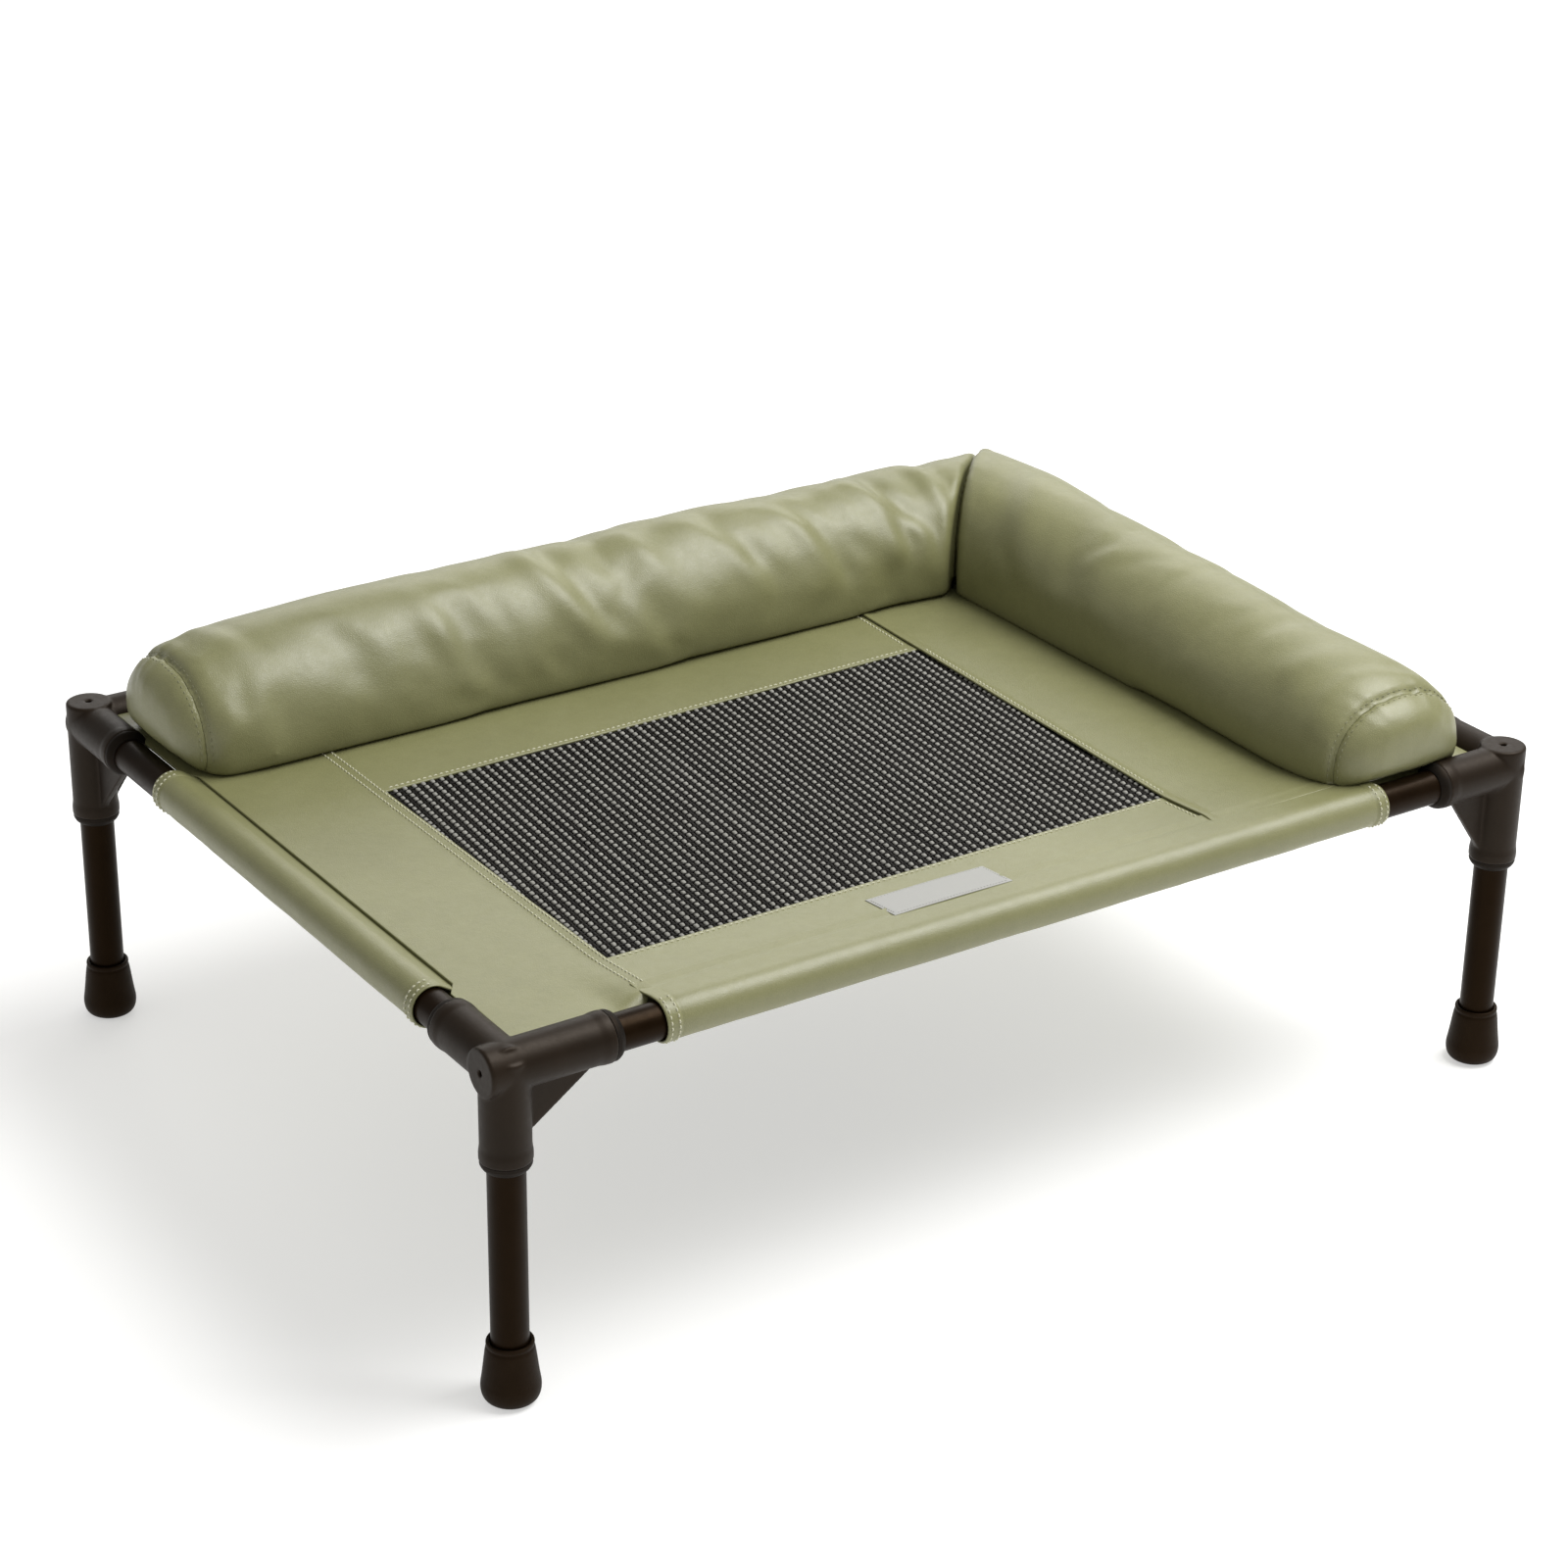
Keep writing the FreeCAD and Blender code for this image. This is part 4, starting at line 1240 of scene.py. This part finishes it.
def make_bolster(arm, folds, seed, extra):
    vertices, faces = arm.loft(shrink=0.965)
    cover = make_object("lean_" + arm.name, vertices, faces, LEATHER_LOOK)
    fix_normals(cover)
    add_modifier(cover, "REMESH", mode="VOXEL", voxel_size=4.6 * MM, use_smooth_shade=True)
    apply_modifiers(cover)
    shade_smooth(cover.data)
    stuff(arm, cover)
    relax(cover, 7)
    add_modifier(cover, "SUBSURF", levels=1, render_levels=1)
    apply_modifiers(cover)
    add_folds(arm, cover, folds, seed, extra)
    draw_in(arm, cover)
    cover.name = "cushion_" + arm.name
    end = cover.copy()
    end.data = cover.data.copy()
    end.name = "cushion_end_" + arm.name
    bpy.context.scene.collection.objects.link(end)
    cut_at_seam(arm, cover, keep_end=False)
    cut_at_seam(arm, end, keep_end=True)
    for piece in (cover, end):
        paint(piece.data, LEATHER_LOOK)
    settle(cover, "green_leather", f"bolster_{arm.name}_cover", f"bolster_{arm.name}_fill")
    settle(end, "green_leather", f"bolster_{arm.name}_end_cap")


def make_bolsters():
    outer_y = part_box("bolster_back_cover")[1].y - 1 * MM
    outer_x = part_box("bolster_right_cover")[1].x + 2 * MM
    back = Arm(
        "back", 0, inner=(outer_y - 129 * MM, outer_y - 109 * MM), outer=(outer_y, outer_y),
        crest=((0, 66), (15, 69), (45, 75), (100, 79), (300, 80), (500, 78), (700, 74)),
        square=0.92, corner=(11, 5, 9), bulge=17 * MM, slack=0.014,
    )
    right = Arm(
        "right", 1, inner=(outer_x - 114 * MM, outer_x - 109 * MM), outer=(outer_x, outer_x),
        crest=((0, 59), (12, 66), (32, 76), (75, 84), (115, 86),
               (170, 84), (225, 80), (290, 76), (400, 68), (600, 66)),
        square=0.86, corner=(5, 1, 8), bulge=21 * MM, slack=0.004, forwards=9 * MM,
    )
    make_bolster(back, BACK_FOLDS, 3, 30)
    make_bolster(right, RIGHT_FOLDS, 8, 9)
    return back, right


def stitch_the_bolsters(arms):
    """A row of green thread on both sides of each end seam."""
    bpy.context.view_layer.update()
    runs = []
    count, inset = 60, 3.0 * MM
    for arm in arms:
        for name, s in (("cushion_", inset), ("cushion_end_", -inset)):
            q, z = arm.section(np.full(count, s), np.linspace(0.04, 0.96, count))
            middle = Vector(arm.place(s, (q.min() + q.max()) / 2, DECK_Z + 20 * MM))
            points = [Vector(point) for point in arm.place(np.full(count, s), q, z)]
            rays = [(middle - point).normalized() for point in points]
            starts = [point - ray * 30 * MM for point, ray in zip(points, rays)]
            runs.append(trace([bpy.data.objects[name + arm.name]], starts, rays))
    make_stitches(
        "stitching_bolsters", runs,
        pitch=4.6 * MM, length=2.9 * MM, radius=0.34 * MM, look=GREEN_THREAD_LOOK,
    )


# ---------------------------------------------------------------- stage, light and camera

def make_stage():
    floor_look = Material(
        "studio_floor", Roughness=0.9, Specular_IOR_Level=0.0,
        Emission_Color=(1.0, 1.0, 0.995, 1.0), Emission_Strength=0.5,
    )
    dark, light = (0.60, 0.60, 0.597), (0.63, 0.63, 0.627)
    floor_look.colour(floor_look.tint(floor_look.noise(2.0), [(0.0, dark), (1.0, light)]))
    half = 12.0
    floor = make_object(
        "studio_floor", [(-half, -half, 0), (half, -half, 0), (half, half, 0), (-half, half, 0)],
        [(0, 1, 2, 3)], floor_look.material, smooth=False,
    )


def area_light(name, place, aim, size, watts, colour=(1.0, 1.0, 1.0)):
    data = bpy.data.lights.new(name, "AREA")
    data.shape = "RECTANGLE"
    data.size, data.size_y = size
    data.energy = watts
    data.color = colour
    light = link_object(name, data)
    light.location = place
    light.rotation_mode = "QUATERNION"
    light.rotation_quaternion = (Vector(place) - Vector(aim)).to_track_quat("Z", "Y")


def make_lights():
    world = bpy.data.worlds.new("studio")
    world.use_nodes = True
    background = world.node_tree.nodes["Background"]
    background.inputs["Color"].default_value = (1.0, 0.985, 0.955, 1.0)
    background.inputs["Strength"].default_value = 0.42
    bpy.context.scene.world = world
    aim = (0.0, 0.0, 0.2)
    area_light("overhead", (1.15, -0.55, 2.5), aim, (2.0, 1.6), 96)
    area_light("behind", (2.6, 3.9, 2.3), aim, (4.6, 2.4), 72, (1.0, 0.99, 0.965))
    view = bpy.context.scene.view_settings
    view.view_transform = "Standard"
    view.look = "None"


def make_camera():
    """The camera stands front left of the bed, turned and raised by these angles in degrees."""
    azimuth, elevation, roll = -34.07, 24.80, 0.81
    aim = Vector((219.1, 330.8, 0.0)) * MM
    distance = 2787.7 * MM
    a, e = math.radians(azimuth), math.radians(elevation)
    back = Vector((math.sin(a) * math.cos(e), -math.cos(a) * math.cos(e), math.sin(e)))
    data = bpy.data.cameras.new("studio_camera")
    data.sensor_width = 36.0
    data.lens = 83.4
    data.clip_start, data.clip_end = 0.05, 60.0
    camera = link_object("studio_camera", data)
    camera.location = aim + back * distance
    camera.rotation_mode = "QUATERNION"
    level = (-back).to_track_quat("-Z", "Y")
    camera.rotation_quaternion = level @ Quaternion((0.0, 0.0, 1.0), math.radians(roll))
    bpy.context.scene.camera = camera


# ---------------------------------------------------------------- everything in turn

dress_cad_nodes()
make_connectors()
make_feet()
make_deck()
make_mesh_window()
make_label()
sleeves = [
    make_sleeve("front", True, 2.0), make_sleeve("back", False, 5.0),
    make_sleeve("left", False, 8.0), make_sleeve("right", False, 13.0),
]
arms = make_bolsters()
stitch_the_deck()
stitch_the_bolsters(arms)
stitch_the_label()
stitch_the_sleeves(sleeves)
make_stage()
make_lights()
make_camera()
